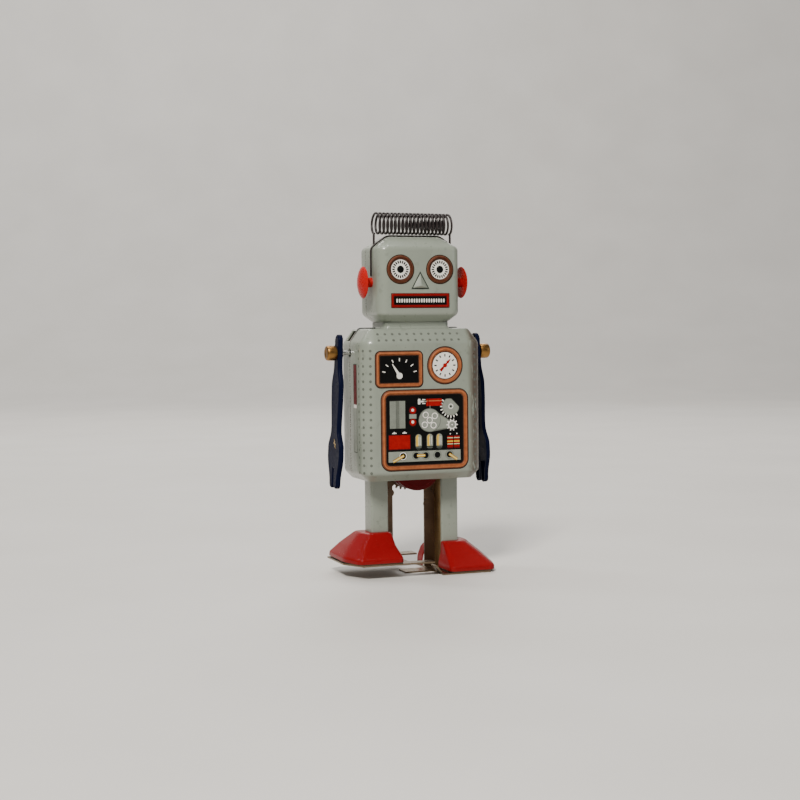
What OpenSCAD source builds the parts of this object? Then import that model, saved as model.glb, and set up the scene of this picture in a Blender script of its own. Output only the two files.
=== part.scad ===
// Tin wind-up walking robot.
// Millimetres. X runs across the toy, the face looks along -Y, Z is up.
// The toy stands on its right foot (the +X foot) on Z = 0, and the left foot is lifted mid-step.

/* [Body] */
// Width of the body across the sides
body_w = 41; // [40:0.5:43]
// Depth of the body from front to back
body_d = 24.5; // [24.5:0.5:28]
// Height of the body shell
body_h = 49.2; // [49.2:0.2:51]
// Height of the underside of the body above the floor
body_z = 31; // [31:0.1:31.4]
// Thickness of the tin plate
tin = 0.5; // [0.4:0.05:0.6]

/* [Head] */
// Width of the head
head_w = 28.5; // [27:0.5:30]
// Depth of the head
head_d = 20; // [19:0.5:22]
// Height of the head from chin to crown
head_h = 27.8; // [27.4:0.1:29]
// Outside diameter of the coil on top of the head
coil_d = 7.4; // [6:0.2:8]
// Number of turns in the coil
coil_turns = 20; // [16:1:22]

/* [Arms and legs] */
// Distance from the middle of the toy to the inner face of an arm
arm_x = 23.6; // [23.6:0.1:25]
// Length of an arm from its rounded top to the tip of the claw
arm_l = 50.2; // [49:0.1:52]
// Outward splay of the arms, in degrees
arm_splay = 2.5; // [1.5:0.5:3]
// Width of a leg channel
leg_w = 6; // [5.6:0.1:6.4]
// Length of a shoe from heel to toe
shoe_l = 26; // [25:0.5:28]

/* [Mechanism] */
// Throw of each crank pin, half the height of a step
crank_r = 2.1; // [1.6:0.1:2.1]
// Teeth on the main wheel
main_teeth = 34; // [34]
// Teeth on the second pinion and on the crank pinion
pinion_teeth = 10; // [10]
// Teeth on the contrate wheel
contrate_teeth = 20; // [20]
// Teeth on the wheel that drives the governor
drive_teeth = 24; // [24]
// Teeth on the governor pinion
governor_teeth = 8; // [8]

/* [Hidden] */
$fn = 64;
eps = 0.01;
far = 200;

// Running clearance between a shaft and its hole, on the radius
run = 0.05;

// Body shell
body_top = body_z + body_h;
body_corner_r = 4.4;
body_shoulder_r = 4.7;
body_foot_r = 2.5;
seam_y = 1.5;
seam_gap = 0.3;
opening_x = 17;
opening_y = 8.8;
shaft_hole_r = 1.5;
arbor_hole_r = 3;
slot_y = [1, 6.6];
slot_l = 4;
slot_in = [1.6, 2.3];
slot_lean = 35;
screw_x = 5;
screw_r = 0.75;
screw_head_h = 0.8;
screw_slot = 0.4;
spacer_r = 1.6;
spacer_bore_r = 1.05;
emboss_h = 0.6;
panel_x = 0.3;
panel_z = body_z + 16.4;
panel_size = [29.8, 25.8];
panel_corner_r = 3;
meter_x = -8.4;
meter_z = body_z + 36.1;
meter_size = [16, 11.5];
meter_corner_r = 1.6;
gauge_x = 7.4;
gauge_z = body_z + 37.1;
gauge_r = 5.95;
frame_band = 1.4;

// Head
neck_h = 1.9;
head_z = body_top + neck_h;
head_corner_r = 3.5;
head_seam_y = 2.6;
chin_h = 2.6;
chin_inset = 3.2;
crown_h = 3.6;
crown_inset_x = 5.2;
crown_inset_y = 4.5;
neck_size = [22, 13.6];
eye_x = 6.8;
eye_z = head_z + 17.1;
eye_r = 4.5;
eye_band = 1.15;
mouth_z = head_z + 7.05;
mouth_size = [19.9, 4.5];
mouth_band = 0.9;
mouth_h = 0.4;
nose_z = head_z + 11.1;
nose_size = [5.5, 4.8];
nose_h = 1.1;
ear_y = -2.8;
band_y = ear_y - 0.7;
ear_z = head_z + 13.1;
ear_r = 5.2;
ear_stem_r = 1.6;
ear_stem_l = 2.7;
ear_dome_r = 10.4;
ear_dome_h = 1.6;
wire_r = 0.3;
coil_wire_r = 0.28;
coil_half = 13.2;
coil_z = head_z + head_h + coil_wire_r + 0.45 + coil_d / 2;

// Shoulders and arms
shaft_y = seam_y + seam_gap / 2;
shaft_z = body_z + 41.4;
shaft_r = 0.7;
arm_t = 1.5;
arm_wall = 0.45;
arm_top = 6.0;
hand_r = 6.4;
arm_boss_r = 2;
washer_r = 1.5;
cap_r = 2.5;
cap_l = 3.3;
cap_x = arm_x + arm_t + 0.2;

// Legs and feet
leg_inner = 9.3;
leg_t = 0.6;
leg_gap = 0.2;
leg_front = -3;
leg_back = 3.2;
leg_channel_top = 50;
leg_strap_top = 57.5;
link_x = 5.6;
link_top = 31.5;
sole_t = 0.5;
shoe_h = 9.2;
shoe_x = [8, 26];
shoe_cut = 2.6;
cup_x = 5.2;
cup_h = 5;
sole_x = 26.3;
toe_y = -15;
heel_y = toe_y + shoe_l;
cup_y = [5.2, heel_y - 1.6];

// Going train
arbor_z = 35;
arbor_r = 1.2;
wheel_module = 0.5;
fine_module = 0.4;
main_r = wheel_module * main_teeth / 2;
pinion_r = wheel_module * pinion_teeth / 2;
contrate_r = wheel_module * contrate_teeth / 2;
crank_z = arbor_z + main_r + pinion_r;
leg_pin_z = crank_z - crank_r;
lift = 2 * crank_r;
drive_r = fine_module * drive_teeth / 2;
governor_r = fine_module * governor_teeth / 2;
governor_z = crank_z + drive_r + governor_r;
pallet_z = governor_z + 5.2;
crank_shaft_r = 0.8;
crank_pin_r = 0.9;
second_r = 0.7;
fine_r = 0.5;
pallet_r = 0.4;
drum_r = 7.95;
drum_y = [-6.8, 0.6];
plate_t = 0.7;
frame_x = 7.9;
frame_y = 8.2;
frame_top = 61;
flange_z = arbor_z + 5.6;
plate_z = body_z + 0.5;
wheel_y = 6.2;

// Rounded rectangle centred on the origin, with its own radius for the top and the bottom corners
module rounded(size, r_top, r_low) {
    w = size[0] / 2;
    h = size[1] / 2;
    translate([-w, -h + r_low]) square([2 * w, 2 * h - r_low - r_top]);
    translate([-w + r_top, 0]) square([2 * (w - r_top), h]);
    translate([-w + r_low, -h]) square([2 * (w - r_low), h]);
    for (s = [-1, 1]) {
        translate([s * (w - r_top), h - r_top]) circle(r_top);
        translate([s * (w - r_low), -h + r_low]) circle(r_low);
    }
}

// Extrude a drawing made in the X-Z plane along Y, from y0 to y1
module along_y(y0, y1) {
    translate([0, y1, 0]) rotate([90, 0, 0]) linear_extrude(y1 - y0) children();
}

// Extrude a drawing whose first axis is Y and second is Z along X, from x0 to x1
module along_x(x0, x1) {
    translate([x0, 0, 0]) rotate([90, 0, 90]) linear_extrude(x1 - x0) children();
}

module rod_x(x0, x1, y, z, r) {
    translate([x0, y, z]) rotate([0, 90, 0]) cylinder(h = x1 - x0, r = r);
}

module rod_y(x, y0, y1, z, r) {
    translate([x, y1, z]) rotate([90, 0, 0]) cylinder(h = y1 - y0, r = r);
}

module slab(x, y, z) {
    translate([x[0], y[0], z[0]]) cube([x[1] - x[0], y[1] - y[0], z[1] - z[0]]);
}

// Everything on the -X side is the +X shape mirrored
module left_side() {
    mirror([1, 0, 0]) children();
}

// ---- Body shells ----

// Solid block of the body, shrunk by d on every face
module body_block(d) {
    mid = body_z + body_h / 2;
    intersection() {
        translate([0, 0, body_z + d]) linear_extrude(body_h - 2 * d)
            rounded([body_w - 2 * d, body_d - 2 * d], body_corner_r - d, body_corner_r - d);
        translate([0, 0, mid]) along_y(-far, far)
            rounded([body_w - 2 * d, body_h - 2 * d], body_shoulder_r - d, body_foot_r - d);
        translate([0, 0, mid]) along_x(-far, far)
            rounded([body_d - 2 * d, body_h - 2 * d], body_corner_r - d, body_foot_r - d);
    }
}

module body_skin() {
    difference() {
        body_block(0);
        body_block(tin);
        slab([-opening_x, opening_x], [-opening_y, opening_y], [body_z - 1, body_z + 4]);
        slab([-neck_size[0] / 2, neck_size[0] / 2], [-neck_size[1] / 2, neck_size[1] / 2],
             [body_top - 2, body_top + 1]);
        rod_x(-far, far, shaft_y, shaft_z, shaft_hole_r);
    }
}

// Raised rectangular band on the chest
module band(x, z, size, r) {
    translate([x, 0, z]) along_y(-body_d / 2 - emboss_h, -body_d / 2 + tin / 2) difference() {
        rounded(size, r, r);
        rounded([size[0] - 2 * frame_band, size[1] - 2 * frame_band], r - frame_band / 2, r - frame_band / 2);
    }
}

module ring_y(x, z, y0, y1, r, r_in) {
    difference() {
        rod_y(x, y0, y1, z, r);
        rod_y(x, y0 - 1, y1 + 1, z, r_in);
    }
}

module body_front_shell() {
    front = -body_d / 2;
    color([0.50, 0.53, 0.47]) union() {
        intersection() {
            body_skin();
            slab([-far, far], [-far, seam_y], [-far, far]);
        }
        band(panel_x, panel_z, panel_size, panel_corner_r);
        band(meter_x, meter_z, meter_size, meter_corner_r);
        ring_y(gauge_x, gauge_z, front - emboss_h, front + tin / 2, gauge_r, gauge_r - frame_band);
    }
}

module body_rear_shell() {
    color([0.47, 0.50, 0.44]) difference() {
        body_skin();
        slab([-far, far], [-far, seam_y + seam_gap], [-far, far]);
        rod_y(0, 0, far, arbor_z, arbor_hole_r);
        for (s = [-1, 1]) {
            rod_y(s * screw_x, 0, far, governor_z, spacer_bore_r);
            // Open slot across the shoulder, next to the seam
            translate([s * (body_w / 2 - slot_in[0]), 0, body_top - slot_in[1]])
                rotate([0, -s * slot_lean, 0]) slab([-1.5, 1.5], slot_y, [-slot_l / 2, slot_l / 2]);
        }
    }
}

// Folded tabs inside the seam that hold the two shells together
module body_tabs() {
    color([0.72, 0.70, 0.64]) {
        for (s = [-1, 1]) {
            slab([s * 13 - 1.5, s * 13 + 1.5], [-1, 5], [body_top - tin - 0.4, body_top - tin]);
            for (z = [body_z + 12, body_z + 30]) {
                x = s * (body_w / 2 - tin - 0.2);
                slab([x - 0.2, x + 0.2], [-1, 5], [z, z + 3]);
            }
        }
    }
}

module neck_collar() {
    color([0.47, 0.50, 0.44]) translate([0, 0, body_top - tin]) linear_extrude(neck_h + tin)
        difference() {
            rounded(neck_size, 2, 2);
            rounded([neck_size[0] - 1.2, neck_size[1] - 1.2], 1.4, 1.4);
        }
}

// ---- Head ----

// Chamfered outline of the head, seen from the front or from the side
module head_outline(w, inset_top, inset_low, d) {
    h = w / 2 - d;
    polygon([
        [-h + inset_low, head_z + d], [h - inset_low, head_z + d],
        [h, head_z + chin_h + d / 2], [h, head_z + head_h - crown_h - d / 2],
        [h - inset_top, head_z + head_h - d], [-h + inset_top, head_z + head_h - d],
        [-h, head_z + head_h - crown_h - d / 2], [-h, head_z + chin_h + d / 2]
    ]);
}

module head_block(d) {
    intersection() {
        translate([0, 0, head_z]) linear_extrude(head_h)
            rounded([head_w - 2 * d, head_d - 2 * d], head_corner_r - d, head_corner_r - d);
        along_y(-far, far) head_outline(head_w, crown_inset_x, chin_inset, d);
        along_x(-far, far) head_outline(head_d, crown_inset_y, chin_inset, d);
    }
}

module head_skin() {
    difference() {
        head_block(0);
        head_block(tin);
        slab([-8, 8], [-4, 4], [head_z - 1, head_z + 2]);
        for (s = [-1, 1]) {
            translate([s * (coil_half + 0.2), ear_y, head_z + head_h - crown_h - 1])
                cylinder(h = crown_h + 2, r = 0.45);
        }
    }
}

module head_front_shell() {
    front = -head_d / 2;
    color([0.50, 0.53, 0.47]) union() {
        intersection() {
            head_skin();
            slab([-far, far], [-far, head_seam_y], [-far, far]);
        }
        for (s = [-1, 1]) {
            ring_y(s * eye_x, eye_z, front - emboss_h, front + tin / 2, eye_r, eye_r - eye_band);
        }
        translate([0, 0, mouth_z]) along_y(front - mouth_h, front + tin / 2) difference() {
            rounded(mouth_size, 0.4, 0.4);
            rounded([mouth_size[0] - 2 * mouth_band, mouth_size[1] - 2 * mouth_band], 0.3, 0.3);
        }
        translate([0, 0, nose_z]) along_y(front - nose_h, front + tin / 2)
            polygon([[-nose_size[0] / 2, 0], [nose_size[0] / 2, 0], [0, nose_size[1]]]);
    }
}

module head_rear_shell() {
    color([0.47, 0.50, 0.44]) difference() {
        head_skin();
        slab([-far, far], [-far, head_seam_y + 0.2], [-far, far]);
    }
}

module ear_right() {
    color([0.72, 0.10, 0.07]) translate([head_w / 2, ear_y, ear_z]) rotate([0, 90, 0]) union() {
        cylinder(h = ear_stem_l + ear_dome_h / 2, r = ear_stem_r);
        translate([0, 0, ear_stem_l]) rotate_extrude() intersection() {
            translate([0, ear_dome_h - ear_dome_r]) circle(ear_dome_r);
            square([ear_r, ear_dome_h]);
        }
    }
}

module ear_left() {
    left_side() ear_right();
}

// One ring of points round the point p, square to the direction t, counted from the reference direction
function ring_at(p, t, r, n, ref) =
    let (u = cross(t, ref) / norm(cross(t, ref)), v = cross(u, t) / norm(t))
    [for (k = [0 : n - 1]) p + r * (cos(360 * k / n) * u + sin(360 * k / n) * v)];

module sweep(path, r, n, ref) {
    last = len(path) - 1;
    points = [for (i = [0 : last])
        each ring_at(path[i], path[min(i + 1, last)] - path[max(i - 1, 0)], r, n, ref)];
    sides = [for (i = [0 : last - 1]) for (k = [0 : n - 1])
        [i * n + k, i * n + (k + 1) % n, (i + 1) * n + (k + 1) % n, (i + 1) * n + k]];
    caps = [[for (k = [n - 1 : -1 : 0]) k], [for (k = [0 : n - 1]) last * n + k]];
    polyhedron(points = points, faces = concat(sides, caps));
}

// Wire bent from ear to ear over the crown of the head
module headband_wire() {
    off = wire_r + 0.12;
    side = head_w / 2 + off;
    knee = head_z + head_h - crown_h + off / 2;
    crown = head_w / 2 - crown_inset_x + off / 2;
    top = head_z + head_h + off;
    foot = ear_z + ear_stem_r + 0.1;
    route = [[-side, foot], [-side, knee - 0.4], [-side + 0.5, knee + 0.4],
             [-crown - 0.4, top - 0.3], [-crown + 0.4, top], [crown - 0.4, top], [crown + 0.4, top - 0.3],
             [side - 0.5, knee + 0.4], [side, knee - 0.4], [side, foot]];
    color([0.06, 0.06, 0.07]) sweep([for (p = route) [p[0], band_y, p[1]]], wire_r, 10, [0, 1, 0]);
}

module head_coil() {
    mean_r = coil_d / 2 - coil_wire_r;
    steps = 16;
    count = coil_turns * steps;
    end_x = coil_half + 0.2;
    low = head_z + head_h - crown_h + 0.2;
    turns = [for (i = [0 : count])
        let (a = -90 + 360 * i / steps)
        [-coil_half + 2 * coil_half * i / count, ear_y + mean_r * cos(a), coil_z + mean_r * sin(a)]];
    foot = coil_z - mean_r;
    leg_a = [[-end_x, ear_y, low], [-end_x, ear_y, foot - 0.8], [-end_x, ear_y + 0.1, foot - 0.3]];
    leg_b = [[end_x, ear_y - 0.1, foot - 0.3], [end_x, ear_y, foot - 0.8], [end_x, ear_y, low]];
    color([0.08, 0.05, 0.05]) sweep(concat(leg_a, turns, leg_b), coil_wire_r, 5, [1, 0, 0]);
}

// ---- Motor frame ----

// Rear plate with the two side flanges folded forward
module motor_frame() {
    color([0.62, 0.60, 0.55]) difference() {
        union() {
            slab([-frame_x, frame_x], [frame_y - plate_t, frame_y], [plate_z, frame_top]);
            for (s = [-1, 1]) {
                x = s * (frame_x - plate_t / 2);
                slab([x - plate_t / 2, x + plate_t / 2], [plate_t - frame_y, frame_y - plate_t + eps],
                     [flange_z, frame_top]);
                // Lugs that keep the top of the leg strap upright
                for (y = [[-6.6, -5.6], [5.8, 6.8]]) {
                    lug = s * (frame_x + 1.6);
                    slab([lug - 1.7, lug + 1.6], y, [frame_top - 6, frame_top - 3]);
                }
            }
        }
        rod_y(0, 0, far, arbor_z, arbor_r + run);
        rod_y(0, 0, far, crank_z, second_r + run);
        rod_x(-far, far, 0, crank_z, crank_shaft_r + run);
        rod_x(-far, far, 0, governor_z, fine_r + run);
        rod_x(-far, far, 0, pallet_z, pallet_r + run);
        for (s = [-1, 1]) rod_y(s * screw_x, 0, far, governor_z, screw_r);
    }
}

module front_plate() {
    color([0.62, 0.60, 0.55]) difference() {
        slab([-frame_x, frame_x], [-frame_y, plate_t - frame_y], [plate_z, frame_top]);
        rod_y(0, -far, 0, arbor_z, arbor_r + run);
    }
}

// Inner plate that carries the front end of the second arbor
module arbor_bridge() {
    color([0.62, 0.60, 0.55]) difference() {
        slab([plate_t - frame_x, frame_x - plate_t], [5.3, 5.8], [crank_z - 4, crank_z + 4]);
        rod_y(0, 0, far, crank_z, second_r + run);
    }
}

module frame_spacers() {
    color([0.70, 0.68, 0.62]) for (s = [-1, 1]) {
        ring_y(s * screw_x, governor_z, frame_y, body_d / 2 - tin, spacer_r, spacer_bore_r);
    }
}

module rear_screws() {
    color([0.70, 0.68, 0.62]) for (s = [-1, 1]) union() {
        rod_y(s * screw_x, frame_y - plate_t, body_d / 2 + 0.1, governor_z, screw_r);
        difference() {
            rod_y(s * screw_x, body_d / 2, body_d / 2 + screw_head_h, governor_z, spacer_r);
            slab([s * screw_x - 2, s * screw_x + 2], [body_d / 2 + screw_head_h / 2, body_d / 2 + 1],
                 [governor_z - screw_slot / 2, governor_z + screw_slot / 2]);
        }
    }
}

module spring_drum() {
    color([0.30, 0.04, 0.04]) union() {
        difference() {
            rod_y(0, drum_y[0], drum_y[1], arbor_z, drum_r);
            rod_y(0, drum_y[0] + 0.4, drum_y[1] + 1, arbor_z, drum_r - 0.35);
            rod_y(0, -far, far, arbor_z, arbor_r + 0.5);
        }
        // Two feet fix the drum to the front plate
        for (s = [-1, 1]) rod_y(s * 4, plate_t - frame_y, drum_y[0] + 0.1, arbor_z + 1, 0.8);
    }
}

// Flat strip wound in an even spiral, loose on the arbor and hooked to the drum
module mainspring() {
    strip = 0.3;
    turns = 6;
    steps = 20;
    r0 = arbor_r + 0.35;
    r1 = drum_r - 0.45;
    count = turns * steps;
    outer = [for (i = [0 : count])
        let (r = r0 + (r1 - r0) * i / count, a = 90 + 360 * i / steps) [r * cos(a), r * sin(a)]];
    inner = [for (i = [count : -1 : 0])
        let (r = r0 + (r1 - r0) * i / count - strip, a = 90 + 360 * i / steps) [r * cos(a), r * sin(a)]];
    color([0.25, 0.26, 0.30]) translate([0, 0, arbor_z]) along_y(drum_y[0] + 0.6, drum_y[1] - 0.2)
        polygon(concat(outer, inner));
}

// ---- Wheels ----

// Straight-sided gear, drawn about the origin, with one tooth centred on the angle a0
module gear(teeth, m, a0, bore) {
    r = teeth * m / 2;
    tip = r + 0.7 * m;
    root = r - 1.0 * m;
    half_root = 0.26 * 360 / teeth;
    half_mid = 0.17 * 360 / teeth;
    half_tip = 0.07 * 360 / teeth;
    flank = [[root, -half_root], [r, -half_mid], [tip, -half_tip],
             [tip, half_tip], [r, half_mid], [root, half_root]];
    difference() {
        polygon([for (k = [0 : teeth - 1]) for (f = flank)
            let (a = a0 + 360 * k / teeth + f[1]) f[0] * [cos(a), sin(a)]]);
        circle(bore);
    }
}

module main_arbor() {
    color([0.66, 0.66, 0.64]) rod_y(0, -frame_y - 0.6, 17, arbor_z, arbor_r);
}

// Butterfly key at the back, on the end of the main arbor
module winding_key() {
    lobe_x = 4.8;
    lobe_y = 22;
    lobe_r = 4.2;
    hole_r = 1.7;
    key_t = 1;
    hub_y = [14, 18.5];
    color([0.70, 0.69, 0.65]) union() {
        ring_y(0, arbor_z, hub_y[0], hub_y[1], 2.2, arbor_r);
        difference() {
            translate([0, 0, arbor_z - key_t / 2]) linear_extrude(key_t) union() {
                for (s = [-1, 1]) translate([s * lobe_x, lobe_y]) circle(lobe_r);
                translate([-3, hub_y[1] - 1.3]) square([6, 6]);
            }
            for (s = [-1, 1]) {
                translate([s * lobe_x, lobe_y, arbor_z - key_t]) cylinder(h = 2 * key_t, r = hole_r);
            }
        }
    }
}

module main_wheel() {
    color([0.72, 0.58, 0.28]) translate([0, 0, arbor_z]) along_y(wheel_y, wheel_y + 0.7) difference() {
        gear(main_teeth, wheel_module, 90, arbor_r);
        for (k = [0 : 3]) rotate(45 + 90 * k) translate([5.2, 0]) circle(1.6);
    }
}

module ratchet_wheel() {
    teeth = 12;
    color([0.62, 0.60, 0.55]) translate([0, 0, arbor_z]) along_y(4.6, 5.4) difference() {
        polygon([for (k = [0 : teeth - 1]) for (f = [[2.1, 0], [2.7, 4]])
            let (a = 360 * k / teeth + f[1]) f[0] * [cos(a), sin(a)]]);
        circle(arbor_r);
    }
}

// Pawl riveted to the main wheel, resting against the ratchet
module click() {
    color([0.55, 0.54, 0.50]) translate([0, 0, arbor_z]) union() {
        along_y(4.7, 5.3) polygon([[3.1, -1.2], [4.9, -1.6], [4.9, 1.2], [4.0, 1.6], [2.85, 0.6]]);
        rod_y(4.3, 5.2, wheel_y, 0, 0.5);
    }
}

module second_arbor() {
    color([0.66, 0.66, 0.64]) rod_y(0, 3.2, frame_y + 0.4, crank_z, second_r);
}

module second_pinion() {
    color([0.72, 0.58, 0.28]) translate([0, 0, crank_z]) along_y(wheel_y - 0.2, wheel_y + 1)
        gear(pinion_teeth, wheel_module, -90 + 180 / pinion_teeth, second_r);
}

// Crown wheel, with teeth that stand out towards the crank pinion
module contrate_wheel() {
    root_y = pinion_r + 0.75;
    color([0.72, 0.58, 0.28]) translate([0, 0, crank_z]) union() {
        difference() {
            rod_y(0, root_y, root_y + 0.6, 0, contrate_r + 0.7);
            rod_y(0, -far, far, 0, second_r);
        }
        for (k = [0 : contrate_teeth - 1]) rotate([0, 360 * k / contrate_teeth, 0]) {
            slab([contrate_r - 0.6, contrate_r + 0.6], [pinion_r - 0.3, root_y + 0.1], [-0.22, 0.22]);
        }
    }
}

// ---- Crank shaft ----

module crank_shaft() {
    color([0.66, 0.66, 0.64]) rod_x(-frame_x - 0.9, frame_x + 0.9, 0, crank_z, crank_shaft_r);
}

module crank_pinion() {
    color([0.72, 0.58, 0.28]) translate([0, 0, crank_z])
        along_x(contrate_r - 0.8, contrate_r + 0.8)
        gear(pinion_teeth, wheel_module, 180 / pinion_teeth, crank_shaft_r);
}

module governor_drive_wheel() {
    color([0.72, 0.58, 0.28]) translate([0, 0, crank_z]) along_x(-6.6, -6.0) difference() {
        gear(drive_teeth, fine_module, 90, crank_shaft_r);
        for (k = [0 : 3]) rotate(45 + 90 * k) translate([2.8, 0]) circle(1.0);
    }
}

// Disc with its crank pin, for the +X side, with the pin turned to the side s (1 up, -1 down)
module crank_disc(s) {
    difference() {
        rod_x(frame_x + 0.3, frame_x + 0.9, 0, crank_z, crank_r + 1.3);
        rod_x(0, far, 0, crank_z, crank_shaft_r);
    }
    rod_x(frame_x + 0.8, leg_inner + 1.9, 0, crank_z + s * crank_r, crank_pin_r);
}

module crank_disc_right() {
    color([0.62, 0.60, 0.55]) union() crank_disc(-1);
}

module crank_disc_left() {
    color([0.62, 0.60, 0.55]) left_side() union() crank_disc(1);
}

module crank_washer(s) {
    difference() {
        rod_x(leg_inner + leg_t + 0.3, leg_inner + leg_t + 0.8, 0, crank_z + s * crank_r, 1.7);
        rod_x(0, far, 0, crank_z + s * crank_r, crank_pin_r);
    }
}

module crank_washer_right() {
    color([0.30, 0.30, 0.30]) crank_washer(-1);
}

module crank_washer_left() {
    color([0.30, 0.30, 0.30]) left_side() crank_washer(1);
}

// ---- Governor ----

module governor_arbor() {
    color([0.66, 0.66, 0.64]) rod_x(-frame_x - 0.2, frame_x + 0.2, 0, governor_z, fine_r);
}

module governor_pinion() {
    color([0.72, 0.58, 0.28]) translate([0, 0, governor_z]) along_x(-6.8, -5.8)
        gear(governor_teeth, fine_module, -90 + 180 / governor_teeth, fine_r);
}

module star_wheel() {
    teeth = 12;
    color([0.62, 0.60, 0.55]) translate([0, 0, governor_z]) along_x(6.1, 6.6) difference() {
        polygon([for (k = [0 : 2 * teeth - 1])
            (k % 2 == 0 ? 3.0 : 2.0) * [cos(180 * k / teeth), sin(180 * k / teeth)]]);
        circle(fine_r);
    }
}

module pallet_arbor() {
    color([0.66, 0.66, 0.64]) rod_x(-frame_x - 0.2, frame_x + 0.2, 0, pallet_z, pallet_r);
}

// Rocking plate with two pins that straddle the star wheel
module pallet_anchor() {
    color([0.62, 0.60, 0.55]) translate([0, 0, pallet_z]) union() {
        along_x(5.3, 5.8) difference() {
            polygon([[-1, 0.9], [1, 0.9], [3.6, -2.2], [3.2, -3.0], [2.4, -2.9], [0, -1.3],
                     [-2.4, -2.9], [-3.2, -3.0], [-3.6, -2.2]]);
            circle(pallet_r);
        }
        for (s = [-1, 1]) rod_x(5.7, 6.8, s * 2.95, -2.45, 0.3);
    }
}

// ---- Legs, for the +X side and standing on the floor ----

module leg() {
    outer = leg_inner + leg_w;
    difference() {
        union() {
            slab([leg_inner, outer], [leg_front, leg_front + leg_t], [sole_t, leg_channel_top]);
            slab([outer - leg_t, outer], [leg_front, leg_back], [sole_t, leg_channel_top - 12]);
            slab([leg_inner, leg_inner + leg_t], [leg_front, leg_back], [sole_t, leg_strap_top]);
        }
        rod_x(0, far, 0, leg_pin_z, crank_pin_r + run);
    }
}

module leg_link() {
    slab([link_x, leg_inner + leg_t], [leg_back, leg_back + leg_t], [sole_t, link_top]);
}

module leg_rivets() {
    rod_y(link_x + 0.9, leg_back - 0.5, leg_back, 21.5, 1.3);
    for (z = [26, 12]) rod_y(leg_inner - 0.6, leg_back - 0.4, leg_back, z, 0.5);
}

// Outline of one shoe layer: outer, inner, toe and heel edges pulled in by the given amounts
module shoe_layer(z, h, toe, heel, side, inner, r) {
    x0 = shoe_x[0] + inner;
    x1 = shoe_x[1] - side;
    y0 = toe_y + toe;
    y1 = heel_y - heel;
    hull() for (p = [[x0 + r, y0 + r], [x1 - r - shoe_cut, y0 + r], [x1 - r, y0 + 9],
                     [x1 - r, y1 - r], [x0 + r, y1 - r]])
        translate([p[0], p[1], z]) cylinder(h = h, r = r, $fn = 32);
}

module shoe_solid(d) {
    hull() {
        shoe_layer(sole_t, 1.9 - d, d, d, d, d, 1.6 - d / 2);
        shoe_layer(sole_t + 5.3 - d, 0.1, 5 + d, 2.6 + d, 3.4 + d, 0.8 + d, 1.6 - d / 2);
        shoe_layer(sole_t + shoe_h - 0.9 - d, 0.9, 8.9 + d, 6.5 + d, 7.2 + d, 0.9 + d, 1.0 - d / 2);
    }
}

module shoe() {
    difference() {
        union() {
            difference() {
                shoe_solid(0);
                translate([0, 0, -0.1]) shoe_solid(tin);
                slab([leg_inner - leg_gap, leg_inner + leg_w + leg_gap],
                     [leg_front - leg_gap, leg_back + leg_t + leg_gap], [4, far]);
            }
            // Low heel cup behind the link
            slab([cup_x, shoe_x[0] + 0.4], [cup_y[0], cup_y[1]], [sole_t, sole_t + tin]);
            slab([cup_x, cup_x + tin], [cup_y[0], cup_y[1]], [sole_t, sole_t + cup_h]);
            slab([cup_x, shoe_x[0] + 0.4], [cup_y[1] - tin, cup_y[1]], [sole_t, sole_t + cup_h]);
        }
        slab([0, leg_inner + leg_t + leg_gap], [leg_front - leg_gap, leg_back + leg_t + leg_gap],
             [sole_t - 1, far]);
    }
}

// The part of a sole plate that lies under its own shoe, for the +X side
module sole_pan() {
    front = toe_y + 0.3;
    back = heel_y - 0.6;
    linear_extrude(sole_t) polygon([[cup_x, front], [sole_x - 4.4, front], [sole_x, front + 8.3],
                                    [sole_x, back], [cup_x, back]]);
}

// Sole plate of the +X foot, with the middle arm that reaches under the toy
module sole_right() {
    lip = [4.5, 3.6];
    lip_lean = 40;
    union() {
        sole_pan();
        slab([-4.6, cup_x + 0.1], [-6, 0.5], [0, sole_t]);
        translate([cup_x + 0.4, -13, 0]) rotate([0, -lip_lean, 0]) cube([sole_t, lip[0], lip[1]]);
    }
}

// Sole plate of the -X foot, with a front and a rear arm that pass either side of the middle arm
module sole_left() {
    union() {
        left_side() sole_pan();
        slab([-cup_x - 0.1, 2.4], [toe_y + 0.3, -10.7], [0, sole_t]);
        slab([-cup_x - 0.1, 3.6], [cup_y[0], heel_y - 0.6], [0, sole_t]);
    }
}

module leg_right() {
    color([0.50, 0.53, 0.47]) leg();
}

module leg_left() {
    color([0.50, 0.53, 0.47]) translate([0, 0, lift]) left_side() leg();
}

module leg_link_right() {
    color([0.22, 0.14, 0.10]) leg_link();
}

module leg_link_left() {
    color([0.22, 0.14, 0.10]) translate([0, 0, lift]) left_side() leg_link();
}

module leg_rivets_right() {
    color([0.12, 0.11, 0.11]) leg_rivets();
}

module leg_rivets_left() {
    color([0.12, 0.11, 0.11]) translate([0, 0, lift]) left_side() leg_rivets();
}

module shoe_right() {
    color([0.62, 0.05, 0.05]) shoe();
}

module shoe_left() {
    color([0.62, 0.05, 0.05]) translate([0, 0, lift]) left_side() shoe();
}

module sole_plate_right() {
    color([0.66, 0.60, 0.50]) sole_right();
}

module sole_plate_left() {
    color([0.66, 0.60, 0.50]) translate([0, 0, lift]) sole_left();
}

// ---- Arms ----

module arm_shaft() {
    color([0.66, 0.64, 0.58]) rod_x(-cap_x - cap_l + 0.5, cap_x + cap_l - 0.5, shaft_y, shaft_z, shaft_r);
}

module arm_cap_right() {
    color([0.52, 0.33, 0.14]) translate([cap_x, shaft_y, shaft_z]) rotate([0, 90, 0]) difference() {
        rotate_extrude() union() {
            square([cap_r - 0.3, cap_l]);
            translate([0, 0.3]) square([cap_r, cap_l - 0.6]);
        }
        translate([0, 0, -eps]) cylinder(h = cap_l - 0.5 + eps, r = shaft_r);
    }
}

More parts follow.
